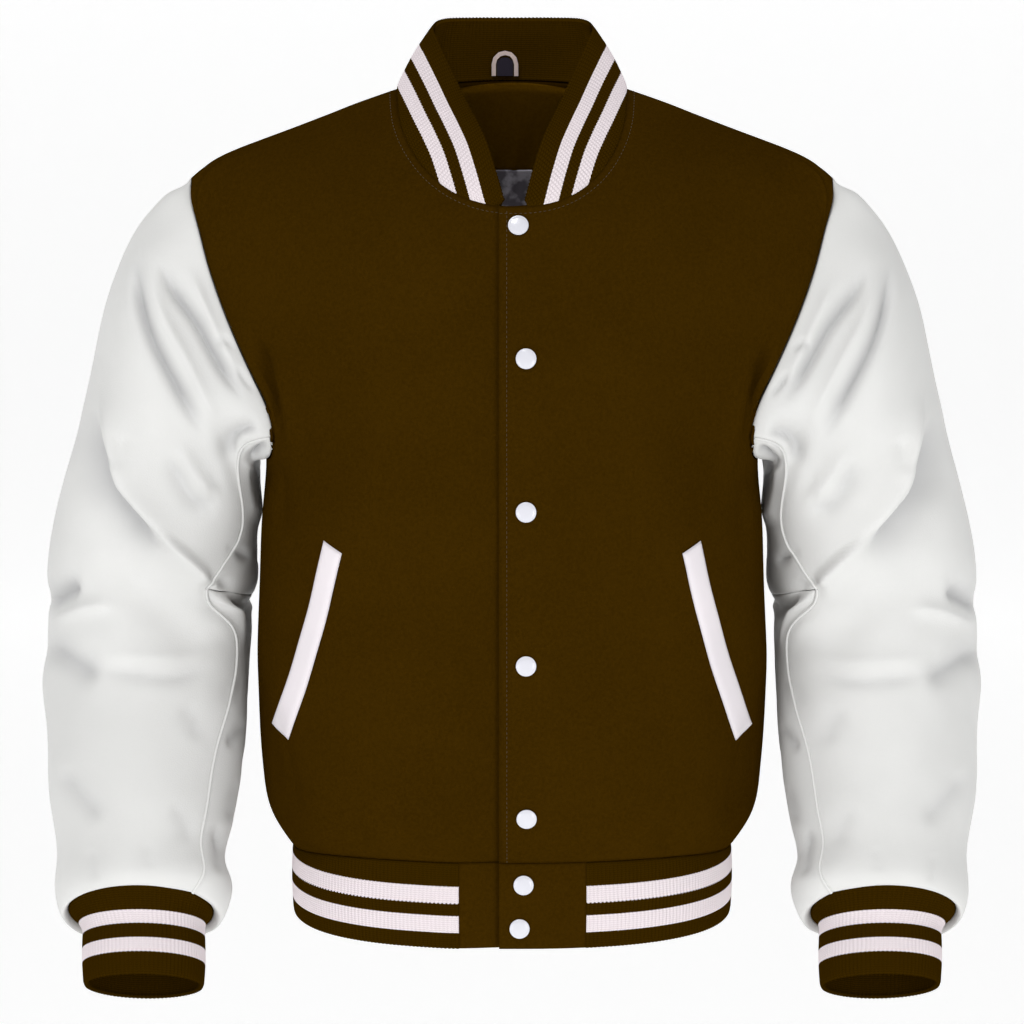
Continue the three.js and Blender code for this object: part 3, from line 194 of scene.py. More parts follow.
def from_screen(red, green, blue):
    """A colour read off the screen, 0 to 255, as the linear colour that shaders want."""
    scale = [value / 255 for value in (red, green, blue)]
    return tuple(v / 12.92 if v <= 0.04045 else ((v + 0.055) / 1.055) ** 2.4 for v in scale)


# %% [markdown]
# ## Melton wool
# The body is melton: wool that is woven, then felted and brushed until the weave can hardly be seen. Up
# close it has short loose fibres and soft clumps. Fine noise gives the fibres and coarser noise the clumps.
# The facing inside the neck is the same wool, but it is given a lighter colour, because little light
# reaches it there.

# %% Wool
WOOL_COLOUR = from_screen(62, 41, 3)
WOOL_DARK = from_screen(50, 32, 1)


def wool_finish(name, light, dark):
    wool = Finish(name, light, 0.95, Specular_IOR_Level=0.0)
    fibres = wool.noise(2600, 4)
    clumps = wool.noise(420, 3)
    shade = wool.noise(14, 2)
    depth = wool.steps(fibres * 0.55 + clumps * 0.3 + shade * 0.15, 0.36, 0.64)
    wool.feed("Base Color", wool.mix(depth, (*dark, 1), (*light, 1)))
    wool.feed("Normal", wool.bump(fibres + clumps * 1.4, 0.5, 0.0007))
    return wool.material


wool = wool_finish("melton_wool", WOOL_COLOUR, WOOL_DARK)
facing_wool = wool_finish("facing_wool", from_screen(100, 70, 6), from_screen(88, 59, 3))
print("made", wool.name)

# %% [markdown]
# ## Leather
# The sleeves are soft white leather with a fine pebbled grain. The grain is made of small cells, about a
# millimetre across, with a little noise so that they don't look printed. Worn leather is smoother where it
# is handled, so the roughness drifts slowly over the surface. The deep creases are given painted shade:
# the colour is mixed towards grey where the `valley` attribute of a panel, made with its creases, says so.

# %% Leather
LEATHER_WHITE = from_screen(229, 229, 227)
LEATHER_SHADE = from_screen(221, 221, 219)
# the grey of the painted shade in deep creases
PAINTED_CREASE_SHADE = from_screen(196, 196, 196)


def leather_finish(name, light, dark, grain=900, depth=0.00022):
    leather = Finish(name, light, 0.5, Specular_IOR_Level=0.42)
    drift = leather.noise(9, 3)
    pebbles = leather.cells(grain)
    pores = leather.noise(grain * 2.4, 2)
    unshaded = leather.mix(leather.steps(drift, 0.35, 0.7), (*dark, 1), (*light, 1))
    # painted shade: the colour is mixed towards grey where the valley attribute says a crease is deep
    valley = leather.node("ShaderNodeAttribute", {"attribute_name": "valley"}, output=2)
    leather.feed("Base Color", leather.mix(valley, unshaded, (*PAINTED_CREASE_SHADE, 1)))
    leather.feed("Roughness", 0.44 + drift * 0.14 + pores * 0.06)
    leather.feed("Normal", leather.bump(pebbles * 0.8 + pores * 0.35, 0.42, depth))
    return leather.material


leather = leather_finish("white_leather", LEATHER_WHITE, LEATHER_SHADE)
WELT_WHITE = from_screen(238, 231, 235)
WELT_SHADE = from_screen(230, 224, 228)
welt_leather = leather_finish("welt_leather", WELT_WHITE, WELT_SHADE, grain=1100, depth=0.00016)
print("made", leather.name, welt_leather.name)

# %% [markdown]
# ## Rib knit with stripes
# Rib knit is rows of loops that stand in ridges. The ridges are real geometry further on, and the loops are
# bump: each ridge is a column of small V shapes. The two stripes are knitted in with white yarn, so their
# edges step from loop to loop. The cloth map holds the metres from the free edge, which is where a knitter
# counts from. The inside of the collar is the same brown knit, given a lighter colour because it lies in
# the collar's own shade.

# %% Knit
KNIT_BROWN = from_screen(56, 37, 1)
KNIT_DARK = from_screen(42, 27, 0)
KNIT_WHITE = from_screen(240, 230, 233)
KNIT_SHADE = from_screen(216, 205, 209)
LOOP = 0.0017
RIB_PITCH = 0.0031
LIGHTER_IN_SHADE = 1.5


def knit_finish(name, stripes, light=1.0):
    """stripes is a list of (start, end) in millimetres from the free edge."""
    knit = Finish(name, KNIT_BROWN, 0.92, Specular_IOR_Level=0.0)
    across, height = knit.along()
    wale = (across / RIB_PITCH).part()
    slope = (wale - 0.5).size() * 2
    loops = ((height / LOOP + slope * 0.55).part() - 0.5).size() * 2
    yarn = knit.noise(2400, 3)
    counted = height + (loops - 0.5) * (LOOP * 0.35)
    white = counted * 0
    for start, end in stripes:
        white = white + (counted > start * MM) * (counted < end * MM)
    depth = knit.steps(loops * 0.6 + yarn * 0.7, 0.25, 0.85)
    dark, bright = [tuple(light * value for value in colour) for colour in (KNIT_DARK, KNIT_BROWN)]
    brown_yarn = knit.mix(depth, (*dark, 1), (*bright, 1))
    white_yarn = knit.mix(depth, (*KNIT_SHADE, 1), (*KNIT_WHITE, 1))
    knit.feed("Base Color", knit.mix(white, brown_yarn, white_yarn))
    knit.feed("Normal", knit.bump(loops + yarn * 0.5, 0.35, 0.0006))
    return knit.material


knit_plain = knit_finish("rib_knit_plain", [], light=LIGHTER_IN_SHADE)
knit_inside = knit_finish("rib_knit_inside", [])
knit_hem = knit_finish("rib_knit_hem", [(12.5, 25.8), (35.6, 48.9)])
knit_cuff = knit_finish("rib_knit_cuff", [(17, 27.5), (38.5, 48.5)])
knit_collar = knit_finish("rib_knit_collar", [(14, 24), (32.5, 42.5)])
print("made", knit_hem.name, knit_cuff.name, knit_collar.name)

# %% [markdown]
# ## Small finishes
# The lining is dark satin, whose threads run one way; its soft patches of shine are painted sheen, brighter
# colour in its base colour. Its colours are lighter than the cloth's own, because it lies deep inside the
# neck. The snap caps are white enamel. The hanger loop is woven tape, and the patch inside it is left plain.

# %% Lining, enamel, tape and thread
satin = Finish("lining_satin", from_screen(134, 127, 135), 0.34, Specular_IOR_Level=0.6, Sheen_Weight=0.2)
threads = satin.part_of(satin.place(), 0) * 5200
satin.feed("Normal", satin.bump(threads.sine() * 0.4 + satin.noise(1800, 2), 0.12, 0.0003))
satin.feed("Roughness", 0.3 + satin.noise(30, 2) * 0.16)
# painted sheen: soft patches where the base colour turns brighter
painted_sheen = satin.steps(satin.noise(85, 3), 0.46, 0.66)
SATIN_DARK = from_screen(112, 105, 114)
SATIN_PAINTED_SHEEN = from_screen(196, 190, 200)
satin.feed("Base Color", satin.mix(painted_sheen, (*SATIN_DARK, 1), (*SATIN_PAINTED_SHEEN, 1)))

enamel = Finish("snap_enamel", from_screen(222, 222, 230), 0.22, Coat_Weight=0.5, Coat_Roughness=0.1)
enamel.feed("Roughness", 0.16 + enamel.noise(260, 3) * 0.16)
enamel.feed("Normal", enamel.bump(enamel.noise(900, 2), 0.05, 0.0002))


def tape_finish(name, light, dark, thread):
    tape = Finish(name, light, 0.85, Sheen_Weight=0.1)
    place = tape.place()
    warp = (tape.part_of(place, 0) * thread).sine()
    weft = (tape.part_of(place, 2) * thread).sine()
    weave = warp * weft * 0.5 + 0.5
    tape.feed("Base Color", tape.mix(weave, (*dark, 1), (*light, 1)))
    tape.feed("Normal", tape.bump(weave + tape.noise(2600, 2) * 0.6, 0.4, 0.0004))
    return tape.material


tape = tape_finish("loop_tape", from_screen(250, 232, 226), from_screen(236, 208, 200), 9000)
patch = tape_finish("neck_patch", from_screen(52, 42, 62), from_screen(28, 22, 36), 9000)
thread = tape_finish("brown_thread", from_screen(82, 60, 26), from_screen(50, 34, 8), 9000)
print("finishes:", len(bpy.data.materials))

# %% [markdown]
# ## From a pattern solid to a sheet of cloth
# Each pattern solid is a closed shell: an outer skin, an inner skin and narrow rims between them. Only the
# outer skin is wanted, because its shape is refined here and a wall is given back at the end. A point is on
# the outer skin if the faces around it look away from the middle of the hollow, which runs up the body, out
# below the shoulders and down the arm. The rims go with the inner points that they hang on.

# %% Outer skin
ARM_LINE = [(219, 0, -176), (265, 11, -290), (287, 20, -390), (288, -8, -464), (285.5, 0, -530)]
SHOULDERS_FROM = -150 * MM


def middle_of_hollow(point, side):
    """A point inside the hollow that a place on the cloth faces away from. side is 0 for the body."""
    if side == 0:
        return Vector((0.75 * point.x, 0, min(point.z, SHOULDERS_FROM)))
    line = [Vector((side * x, y, z)) * MM for x, y, z in ARM_LINE]
    best = None
    for start, end in zip(line, line[1:]):
        run = end - start
        share = min(1, max(0, (point - start).dot(run) / run.length_squared))
        near = start + run * share
        if best is None or (near - point).length < (best - point).length:
            best = near
    return best


def drop_diagonals(bm):
    """Joins the two halves of each four-sided patch. All the patches were halved the same way, so the
    diagonal of one triangle shows which edge is the diagonal of the triangle beside it."""
    corner = next(vert for vert in bm.verts if len(vert.link_edges) == 2)
    first = corner.link_faces[0]
    diagonal = {first: next(edge for edge in first.edges if corner not in edge.verts)}
    border = [first]
    while border:
        face = border.pop()
        known = diagonal[face]
        for edge in face.edges:
            for other in edge.link_faces:
                if other in diagonal:
                    continue
                if edge is known:
                    diagonal[other] = edge
                else:
                    far = next(vert for vert in edge.verts if vert not in known.verts)
                    diagonal[other] = next(e for e in other.edges if e is not edge and far in e.verts)
                border.append(other)
    bmesh.ops.dissolve_edges(bm, edges=list(set(diagonal.values())), use_verts=False)


def outer_skin(name, side):
    bm = bmesh.new()
    bm.from_mesh(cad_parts[name].data)
    bmesh.ops.remove_doubles(bm, verts=bm.verts[:], dist=2e-5)
    inside = []
    for vert in bm.verts:
        away = (vert.co - middle_of_hollow(vert.co, side)).normalized()
        if sum(face.calc_area() * face.normal.dot(away) for face in vert.link_faces) < 0:
            inside.append(vert)
    count = len(inside)
    bmesh.ops.delete(bm, geom=inside, context="VERTS")
    drop_diagonals(bm)
    bm.verts.index_update()
    print(name, "points inside:", count, "outside:", len(bm.verts), "faces:", len(bm.faces))
    return bm


PANELS = {
    "front_left": 0,
    "front_right": 0,
    "back": 0,
    "sleeve_top_left": 1,
    "sleeve_under_upper_left": 1,
    "sleeve_under_lower_left": 1,
    "sleeve_top_right": -1,
    "sleeve_under_upper_right": -1,
    "sleeve_under_lower_right": -1,
}
skins = {name: outer_skin(name, side) for name, side in PANELS.items()}

# %% [markdown]
# ## Smooth cloth that still meets at the seams
# Subdivision rounds the facets, but it also pulls the cloth inside its cage, and then two panels no longer
# meet. So the cage is pushed out by what it lost, a few times, until the smooth cloth passes close to the
# pattern's own points. Inside a panel the cloth may slide along itself, so only the distance square to it
# counts. A corner of one panel can lie in the middle of its neighbour's seam, so such points are kept sharp
# on both.

# %% Smooth panels
LEVELS = 3
FITTING_ROUNDS = 4
CORNER_TURN = math.radians(38)
CORNER_REACH = 1.6 * MM


def is_corner(vert):
    """True where the border of a panel turns sharply."""
    if not vert.is_boundary:
        return False
    runs = [edge.other_vert(vert).co - vert.co for edge in vert.link_edges if edge.is_boundary]
    return runs[0].angle(-runs[1]) > CORNER_TURN


all_corners = {name: [vert.co.copy() for vert in bm.verts if is_corner(vert)] for name, bm in skins.items()}
print("corners:", {name: len(points) for name, points in all_corners.items()})


def points_of(mesh, count=None):
    flat = np.empty(len(mesh.vertices) * 3)
    mesh.vertices.foreach_get("co", flat)
    return flat.reshape(-1, 3)[:count]


def set_points(mesh, points):
    mesh.vertices.foreach_set("co", points.ravel())
    mesh.update()


def smooth_panel(name, bm):
    """The fine mesh of a panel, and the numbers of its corner points."""
    mesh = bpy.data.meshes.new(name)
    bm.to_mesh(mesh)
    cage = bpy.data.objects.new(name, mesh)
    bpy.context.scene.collection.objects.link(cage)
    sharp = mesh.attributes.new("crease_vert", "FLOAT", "POINT")
    meetings = [point for points in all_corners.values() for point in points]
    for vert in bm.verts:
        if vert.is_boundary and min((vert.co - point).length for point in meetings) < CORNER_REACH:
            sharp.data[vert.index].value = 1
    rounding = cage.modifiers.new("rounding", "SUBSURF")
    rounding.levels = rounding.render_levels = LEVELS
    rounding.boundary_smooth = "PRESERVE_CORNERS"
    wanted = points_of(mesh)
    for _ in range(FITTING_ROUNDS):
        bpy.context.view_layer.update()
        graph = bpy.context.evaluated_depsgraph_get()
        reached = points_of(cage.evaluated_get(graph).data, len(wanted)).copy()
        surface = BVHTree.FromObject(cage, graph)
        for vert in bm.verts:
            if not vert.is_boundary:
                reached[vert.index] = surface.find_nearest(vert.co)[0]
        missed = wanted - reached
        set_points(mesh, points_of(mesh) + missed)
    bpy.context.view_layer.update()
    fine = bpy.data.meshes.new_from_object(cage.evaluated_get(bpy.context.evaluated_depsgraph_get()))
    corners = [vert.index for vert in bm.verts if is_corner(vert)]
    missed = np.linalg.norm(missed, axis=1)
    worst = wanted[missed.argmax()].round(3)
    print(name, "misses its pattern by", round(float(missed.max()) * 1000, 3), "mm at", worst)
    bpy.data.objects.remove(cage)
    return fine, corners


smooth = {name: smooth_panel(name, bm) for name, bm in skins.items()}

# %% [markdown]
# ## The edges of a panel
# Seams, bands and stitching all follow the edges of the panels. An edge is a chain of points from one
# corner of the panel to the next, and each is named here by a place near its middle.


# %% Panel edges
def edge_chains(mesh, corners):
    """The panel's border as chains of point numbers, from corner to corner."""
    uses = {}
    for polygon in mesh.polygons:
        for key in polygon.edge_keys:
            uses[key] = uses.get(key, 0) + 1
    beside = {}
    for (a, b), count in uses.items():
        if count == 1:
            beside.setdefault(a, []).append(b)
            beside.setdefault(b, []).append(a)
    chains, done = [], set()
    for corner in corners:
        for first in beside[corner]:
            chain = [corner, first]
            while chain[-1] not in corners:
                chain.append(next(p for p in beside[chain[-1]] if p != chain[-2]))
            key = frozenset((chain[0], chain[-1], chain[len(chain) // 2]))
            if key not in done:
                done.add(key)
                chains.append(chain)
    return chains


chains = {name: edge_chains(mesh, corners) for name, (mesh, corners) in smooth.items()}


def edge_near(name, place):
    """The chain of a panel whose middle lies nearest to a place, in millimetres."""
    mesh = smooth[name][0]
    target = Vector(place) * MM

    def distance(chain):
        middle = sum((mesh.vertices[i].co for i in chain), Vector()) / len(chain)
        return (middle - target).length

    return min(chains[name], key=distance)


print("edges:", {name: len(found) for name, found in chains.items()})

# %% [markdown]
# ## Creases
# Soft leather on a bent arm folds in the same way every time: long valleys fall from the shoulder to the
# inner elbow, one ridge crosses from the outer arm down to the elbow, and short notches bite in at the
# outer elbow. Each is a path in the picture with a lift in millimetres, a ridge if it is above zero and a
# valley if below, and a width in pixels on its left and on its right, so that a fold can be steep on one
# side and soft on the other. The two sleeves mirror each other nearly, and the back has folds of the same
# kind, a little different.

# %% Crease tables
# name, lift, width on the left and on the right of the path, path
SLEEVE_CREASES = [
    ("outer valley", -4.4, 9, 5, [(134, 246), (136, 293), (148, 333), (169, 374), (189, 411), (207, 440)]),
    ("ridge beside it", 1.6, 8, 8, [(146, 262), (160, 312), (184, 356), (206, 398), (222, 428)]),
    ("inner valley", -3.9, 8, 5, [(157, 256), (172, 288), (196, 321), (212, 350), (228, 378), (246, 402)]),
    ("ridge by the armhole", 1.3, 8, 7, [(186, 262), (204, 306), (222, 344), (242, 380)]),
    ("armhole notch", -1.8, 4, 3, [(214, 345), (224, 339), (235, 347)]),
    ("lower armhole notch", -2.2, 4, 3, [(238, 366), (246, 380), (258, 392)]),
    ("underarm step", -3.0, 3, 9, [(262, 431), (240, 434), (233, 444), (238, 462)]),
    ("underarm pocket", -4.5, 7, 7, [(272, 446), (258, 452), (248, 466)]),
    ("elbow ridge, upper", 3.8, 12, 5,
     [(100, 384), (107, 424), (113, 452), (121, 482), (132, 498), (152, 521), (186, 556)]),
    ("elbow ridge, lower", 4.2, 3, 13,
     [(150, 522), (172, 542), (198, 566), (214, 585), (232, 608), (243, 632), (245, 654)]),
    ("valley under the ridge", -4.4, 7, 15,
     [(90, 400), (97, 450), (106, 480), (124, 508), (150, 538), (170, 556)]),
    ("hollow beside the lap", -3.4, 6, 4, [(214, 574), (228, 592), (243, 612), (250, 624)]),
    ("sag above the seam", -1.8, 9, 9, [(168, 452), (178, 476), (192, 498), (206, 503), (220, 496)]),
    ("ridge over the sag", 1.4, 9, 9, [(178, 438), (190, 466), (206, 486), (222, 482)]),
    ("cuff of the upper arm", -1.6, 8, 8, [(120, 470), (122, 446), (127, 432)]),
    ("outer elbow notch", -4.0, 11, 10, [(38, 600), (52, 598), (68, 590), (84, 590)]),
    ("ridge under the notch", 2.2, 8, 8, [(46, 622), (62, 616), (92, 606), (120, 604)]),
    ("second notch", -3.0, 12, 10, [(38, 640), (56, 652), (80, 668), (104, 678)]),
    ("line across", -1.3, 7, 7, [(88, 668), (132, 675), (178, 677), (220, 664)]),
    ("ridge above the line", 1.0, 8, 8, [(96, 652), (140, 656), (190, 656), (228, 640)]),
    ("forearm crease", -1.7, 11, 9, [(58, 764), (70, 786), (88, 806), (104, 822)]),
    ("wrist dent", -0.8, 13, 12, [(176, 704), (198, 722), (190, 742)]),
    ("low forearm", -0.7, 13, 11, [(170, 800), (184, 820), (190, 846)]),
    ("under sleeve, elbow", -2.2, 5, 5, [(226, 546), (238, 552), (252, 560)]),
    ("under sleeve, pull", -1.4, 6, 6, [(240, 674), (233, 694), (229, 706)]),
    ("under sleeve, fold", -1.6, 6, 7, [(248, 722), (238, 736), (225, 746)]),
    ("under sleeve, low", -1.4, 7, 7, [(242, 780), (236, 806), (230, 824)]),
    ("beside the wrist seam", -1.9, 5, 7, [(216, 822), (222, 850), (224, 876)]),
    ("wrist gather", -0.5, 7, 6, [(96, 884), (92, 868), (90, 846)]),
    ("rest against the body", 2.2, 10, 10, [(257, 456), (259, 486), (258, 524)]),
    ("wrist gather, middle", -0.4, 8, 7, [(150, 870), (148, 856), (150, 840)]),
]
BODY_CREASES = [
    ("armhole hollow", -4.6, 6, 9, [(250, 330), (262, 356), (269, 384), (274, 412), (279, 444)]),
    ("drape edge", 1.6, 5, 9, [(258, 330), (272, 356), (281, 384), (287, 412), (294, 446), (299, 486)]),
    ("fall from the underarm", -1.8, 7, 7, [(274, 452), (280, 490), (284, 540)]),
    ("low side fall", -1.6, 9, 9, [(276, 690), (282, 740), (292, 790), (304, 828)]),
    ("blouson dent", -1.4, 10, 10, [(352, 820), (360, 836), (364, 852)]),
    ("blouson dent, inner", -1.1, 9, 9, [(420, 832), (424, 846), (424, 860)]),
]
MIRROR_X = 1026
RIGHT_DROP = 4
BACK_SHIFT = (5, 12)
BACK_SHARE = 0.85
# how many times the lifts in the tables the creases are pressed
DEEPER = 2.4
# the share of a crease that fades out at each end
FADE = 0.3
# how sharp a crease is at its bottom: 2 is round, 1 is a fold
SHARPNESS = 1.5


def lengths_along(path):
    """How far along a path each of its points is."""
    return np.concatenate([[0], np.cumsum(np.linalg.norm(np.diff(path, axis=0), axis=1))])


def along_smoothly(path, spacing=6):
    """The path again, as a smooth curve with points a few pixels apart."""
    path = np.array(path, float)
    ends = np.vstack([2 * path[0] - path[1], path, 2 * path[-1] - path[-2]])
    curve = []
    for k in range(1, len(ends) - 2):
        a, b, c, d = ends[k - 1 : k + 3]
        for t in np.linspace(0, 1, max(2, int(np.linalg.norm(c - b) / spacing)), endpoint=False):
            bend, twist = 2 * a - 5 * b + 4 * c - d, 3 * b - a - 3 * c + d
            curve.append(0.5 * (2 * b + (c - a) * t + bend * t**2 + twist * t**3))
    return np.array(curve + [path[-1]])


def smoothstep(low, high, value):
    t = np.clip((value - low) / (high - low), 0, 1)
    return t * t * (3 - 2 * t)


def crease_lift(places, creases, shift=(0, 0), share=1.0, mirrored=False):
    """How far the creases lift the cloth, in metres, at places in the picture."""
    lift = np.zeros(len(places))
    for _, height, left, right, path in creases:
        curve = along_smoothly(path) + np.array(shift)
        if mirrored:
            curve[:, 0] = MIRROR_X - curve[:, 0]
            left, right = right, left
        lengths = lengths_along(curve)
        nearest = np.full(len(places), np.inf)
        along = np.zeros(len(places))
        side = np.ones(len(places))
        for k, (a, b) in enumerate(zip(curve, curve[1:])):
            run = b - a
            t = np.clip(((places - a) @ run) / (run @ run), 0, 1)
            off = places - a - t[:, None] * run
            distance = np.hypot(off[:, 0], off[:, 1])
            nearer = distance < nearest
            nearest = np.where(nearer, distance, nearest)
            along = np.where(nearer, (lengths[k] + t * (lengths[k + 1] - lengths[k])) / lengths[-1], along)
            side = np.where(nearer, run[0] * off[:, 1] - run[1] * off[:, 0], side)
        width = np.where(side > 0, right, left)
        fade = smoothstep(0, FADE, along) * smoothstep(0, FADE, 1 - along)
        lift += height * DEEPER * share * MM * fade * np.exp(-((nearest / width) ** SHARPNESS))
    return lift


# %% [markdown]
# ## Pressing the creases into the cloth
# A crease on the front only moves cloth that faces the camera, and its twin on the back only what faces
# away. At a seam the cloth rolls in a little, because its edge is turned to the inside. A slow unevenness
# is added everywhere, since no filled-out cloth is a perfect curve.

# %% Press
SEAM_ROLL = 0.5 * MM
SEAM_ROLL_WIDTH = 2.0 * MM
# creases die away towards a seam, from this far and down to this share
SEAM_HOLDS = 12 * MM
SHARE_AT_SEAM = 0.15
# the crease depth at which the painted shade on the leather is darkest
FULL_PAINTED_SHADE_DEPTH = 9 * MM
UNEVEN_SCALE = 11
UNEVEN_FROM_SEAM = 25 * MM
# how far the cloth has to face a side for that side's creases to begin, and to be whole
FACED_FROM, FACED_FULLY = -0.15, 0.35
SHARE_ON_RIGHT = 0.92


def normals_of(mesh):
    flat = np.empty(len(mesh.vertices) * 3)
    mesh.vertices.foreach_get("normal", flat)
    return flat.reshape(-1, 3)


def unevenness(points, scale, seed):
    return np.array([noise.noise(Vector(point) * scale + Vector((seed, 0, 0))) for point in points])


def press(name, mesh, creases, uneven):
    points, out = points_of(mesh), normals_of(mesh)
    faced = -out[:, 1]
    front = smoothstep(FACED_FROM, FACED_FULLY, faced)
    behind = smoothstep(FACED_FROM, FACED_FULLY, -faced)
    turned = points * np.array([1, -1, 1])
    is_right = points[:, 0] > 0
    lift = np.zeros(len(points))
    for mirrored, drop in ((False, 0), (True, RIGHT_DROP)):
        on_side = is_right if mirrored else ~is_right
        share = SHARE_ON_RIGHT if mirrored else 1.0
        seen = crease_lift(in_picture(points), creases, (0, drop), share, mirrored)
        hidden_shift = (BACK_SHIFT[0], BACK_SHIFT[1] - drop)
        hidden = crease_lift(in_picture(turned), creases, hidden_shift, BACK_SHARE * share, mirrored)
        lift += on_side * (front * seen + behind * hidden)
    border = [i for chain in chains[name] for i in chain]
    tree = KDTree(len(border))
    for k, i in enumerate(border):
        tree.insert(mesh.vertices[i].co, k)
    tree.balance()
    reach = np.array([tree.find(point)[2] for point in points])
    lift *= SHARE_AT_SEAM + (1 - SHARE_AT_SEAM) * smoothstep(0, SEAM_HOLDS, reach)
    # how deep the crease is, which the leather's colour uses for painted shade
    valley = mesh.attributes.new("valley", "FLOAT", "POINT")
    valley.data.foreach_set("value", np.clip(-lift / FULL_PAINTED_SHADE_DEPTH, 0, 1))
    lift += unevenness(points, UNEVEN_SCALE, 3.1) * uneven * smoothstep(0, UNEVEN_FROM_SEAM, reach)
    lift -= SEAM_ROLL * np.exp(-((reach / SEAM_ROLL_WIDTH) ** 2))
    set_points(mesh, points + out * lift[:, None])
    print(name, "creases from", round(lift.min() * 1000, 1), "to", round(lift.max() * 1000, 1), "mm")


for name, (mesh, corners) in smooth.items():
    if PANELS[name]:
        press(name, mesh, SLEEVE_CREASES, 1.1 * MM)
    else:
        press(name, mesh, BODY_CREASES, 1.0 * MM)

# %% [markdown]
# ## Walls and finishes for the panels
# Solidify gives each sheet the wall that its pattern solid has, on the inside of the skin, so the outer
# shape stays where it is.

# %% Dress the panels
WALLS = {"wool": 2.6 * MM, "leather": 1.8 * MM}


def add_piece(name, mesh, node, material):
    mesh.materials.clear()
    mesh.materials.append(material)
    mesh.polygons.foreach_set("use_smooth", [True] * len(mesh.polygons))
    piece = bpy.data.objects.new(name, mesh)
    bpy.context.scene.collection.objects.link(piece)
    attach(piece, "root")
    if node:
        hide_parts(*([node] if isinstance(node, str) else node))
    return piece


def give_wall(piece, thickness, offset=-1):
    wall = piece.modifiers.new("wall", "SOLIDIFY")
    wall.thickness = thickness
    wall.offset = offset
    return wall


for name, (mesh, corners) in smooth.items():
    is_leather = bool(PANELS[name])
    slot = "leather" if is_leather else "wool"
    piece = add_piece(f"{name}_cloth", mesh, name, leather if is_leather else wool)
    give_wall(piece, WALLS[slot])

# %% [markdown]
# ## Rib bands
# A band starts at the edge of the cloth it is sewn to. Its columns run from that seam to the free edge, and
# its ribs are raised between them. The band is one grid whose points are carried to their place, then given
# a wall. The cloth map keeps the metres along the band and the metres from the free edge.

# %% Band maker
COLUMNS_PER_RIB = 6
RIB_RAISE = 0.75 * MM
KNIT_WALL = 3.0 * MM


def follow(points, shares):
    """Points along a path at shares of its length, for an array of points."""
    lengths = lengths_along(points)
    return np.stack([np.interp(shares * lengths[-1], lengths, points[:, k]) for k in range(3)], axis=1)


def unit(vectors):
    return vectors / np.maximum(np.linalg.norm(vectors, axis=-1, keepdims=True), 1e-12)


def finished_mesh(name, bm):
    mesh = bpy.data.meshes.new(name)
    bm.to_mesh(mesh)
    bm.free()
    return mesh


def band_mesh(name, rows, heights, outward_from, ribbed=True, closed=False):
    """rows holds an array of points for each row, from the seam to the free edge, all with as many points.
    heights is the distance of each row from the free edge, as one number or one for each column."""
    rows = np.array(rows)
    count_rows, columns = rows.shape[0], rows.shape[1] - 1
    if closed:
        ahead, behind = np.roll(rows[:, :-1], -1, axis=1), np.roll(rows[:, :-1], 1, axis=1)
        along = ahead - behind
        along = np.concatenate([along, along[:, :1]], axis=1)
    else:
        along = np.gradient(rows, axis=1)
    out = unit(np.cross(along, np.gradient(rows, axis=0)))
    middle = rows.reshape(-1, 3) - outward_from(rows.reshape(-1, 3))
    if (out.reshape(-1, 3) * middle).sum() < 0:
        out = -out
    if ribbed:
        wave = (0.5 - 0.5 * np.cos(2 * np.pi * np.arange(columns + 1) / COLUMNS_PER_RIB)) ** 0.6
        from_seam = np.linalg.norm(rows - rows[:1], axis=2)
        rows = rows + out * (wave[None, :, None] * RIB_RAISE * smoothstep(0, 3 * MM, from_seam)[:, :, None])
    heights = np.broadcast_to(np.array(heights).reshape(count_rows, -1), (count_rows, columns + 1))
    bm = bmesh.new()
    bmesh.ops.create_grid(bm, x_segments=columns, y_segments=count_rows - 1, size=0.5)
    places = {}
    for vert in bm.verts:
        i = round((vert.co.x + 0.5) * columns)
        j = round((vert.co.y + 0.5) * (count_rows - 1))
        places[vert] = (i, j)
    cloth = bm.loops.layers.uv.new("cloth")
    for face in bm.faces:
        for loop in face.loops:
            i, j = places[loop.vert]
            loop[cloth].uv = (RIB_PITCH / COLUMNS_PER_RIB * i, heights[j][i])
    for vert, (i, j) in places.items():
        vert.co = rows[j][i]
    bm.normal_update()
    sample = next(iter(bm.faces))
    i, j = places[sample.verts[0]]
    if sample.normal.dot(Vector(out[j][i])) < 0:
        bmesh.ops.reverse_faces(bm, faces=bm.faces[:])
    if closed:
        bmesh.ops.remove_doubles(bm, verts=bm.verts[:], dist=1e-5)
    mesh = finished_mesh(name, bm)
    length = float(lengths_along(rows[-1])[-1])
    print(name, "band", round(length * 1000), "mm long,", len(mesh.polygons), "faces")
    return mesh


def chain_points(name, place):
    mesh = smooth[name][0]
    return np.array([mesh.vertices[i].co[:] for i in edge_near(name, place)])


def from_end(points, key):
    """The points, turned round if they don't begin at the end where key is least."""
    return points if key(points[0]) < key(points[-1]) else points[::-1]


def around_body(front, back):
    """The edges of left front, back and right front, as a walk from front edge to front edge takes them.
    front and back are places near the middle of the edges, and the right front mirrors the left one."""
    x, y, z = front
    left = from_end(chain_points("front_left", front), lambda p: p[0])
    behind = from_end(chain_points("back", back), lambda p: -p[0])
    right = from_end(chain_points("front_right", (-x, y, z)), lambda p: p[0])
    return left, behind, right


def add_band(name, mesh, node, finish, inside):
    """A knit band with one finish outside and another inside."""
    band = add_piece(name, mesh, node, finish)
    band.data.materials.append(inside)
    give_wall(band, KNIT_WALL).material_offset = 1
    return band


# %% [markdown]
# ## Hem band
# The band hangs straight down from the hem seam, from tab to tab. The tabs at the two front ends are plain
# wool, folded over, so they have no ribs.

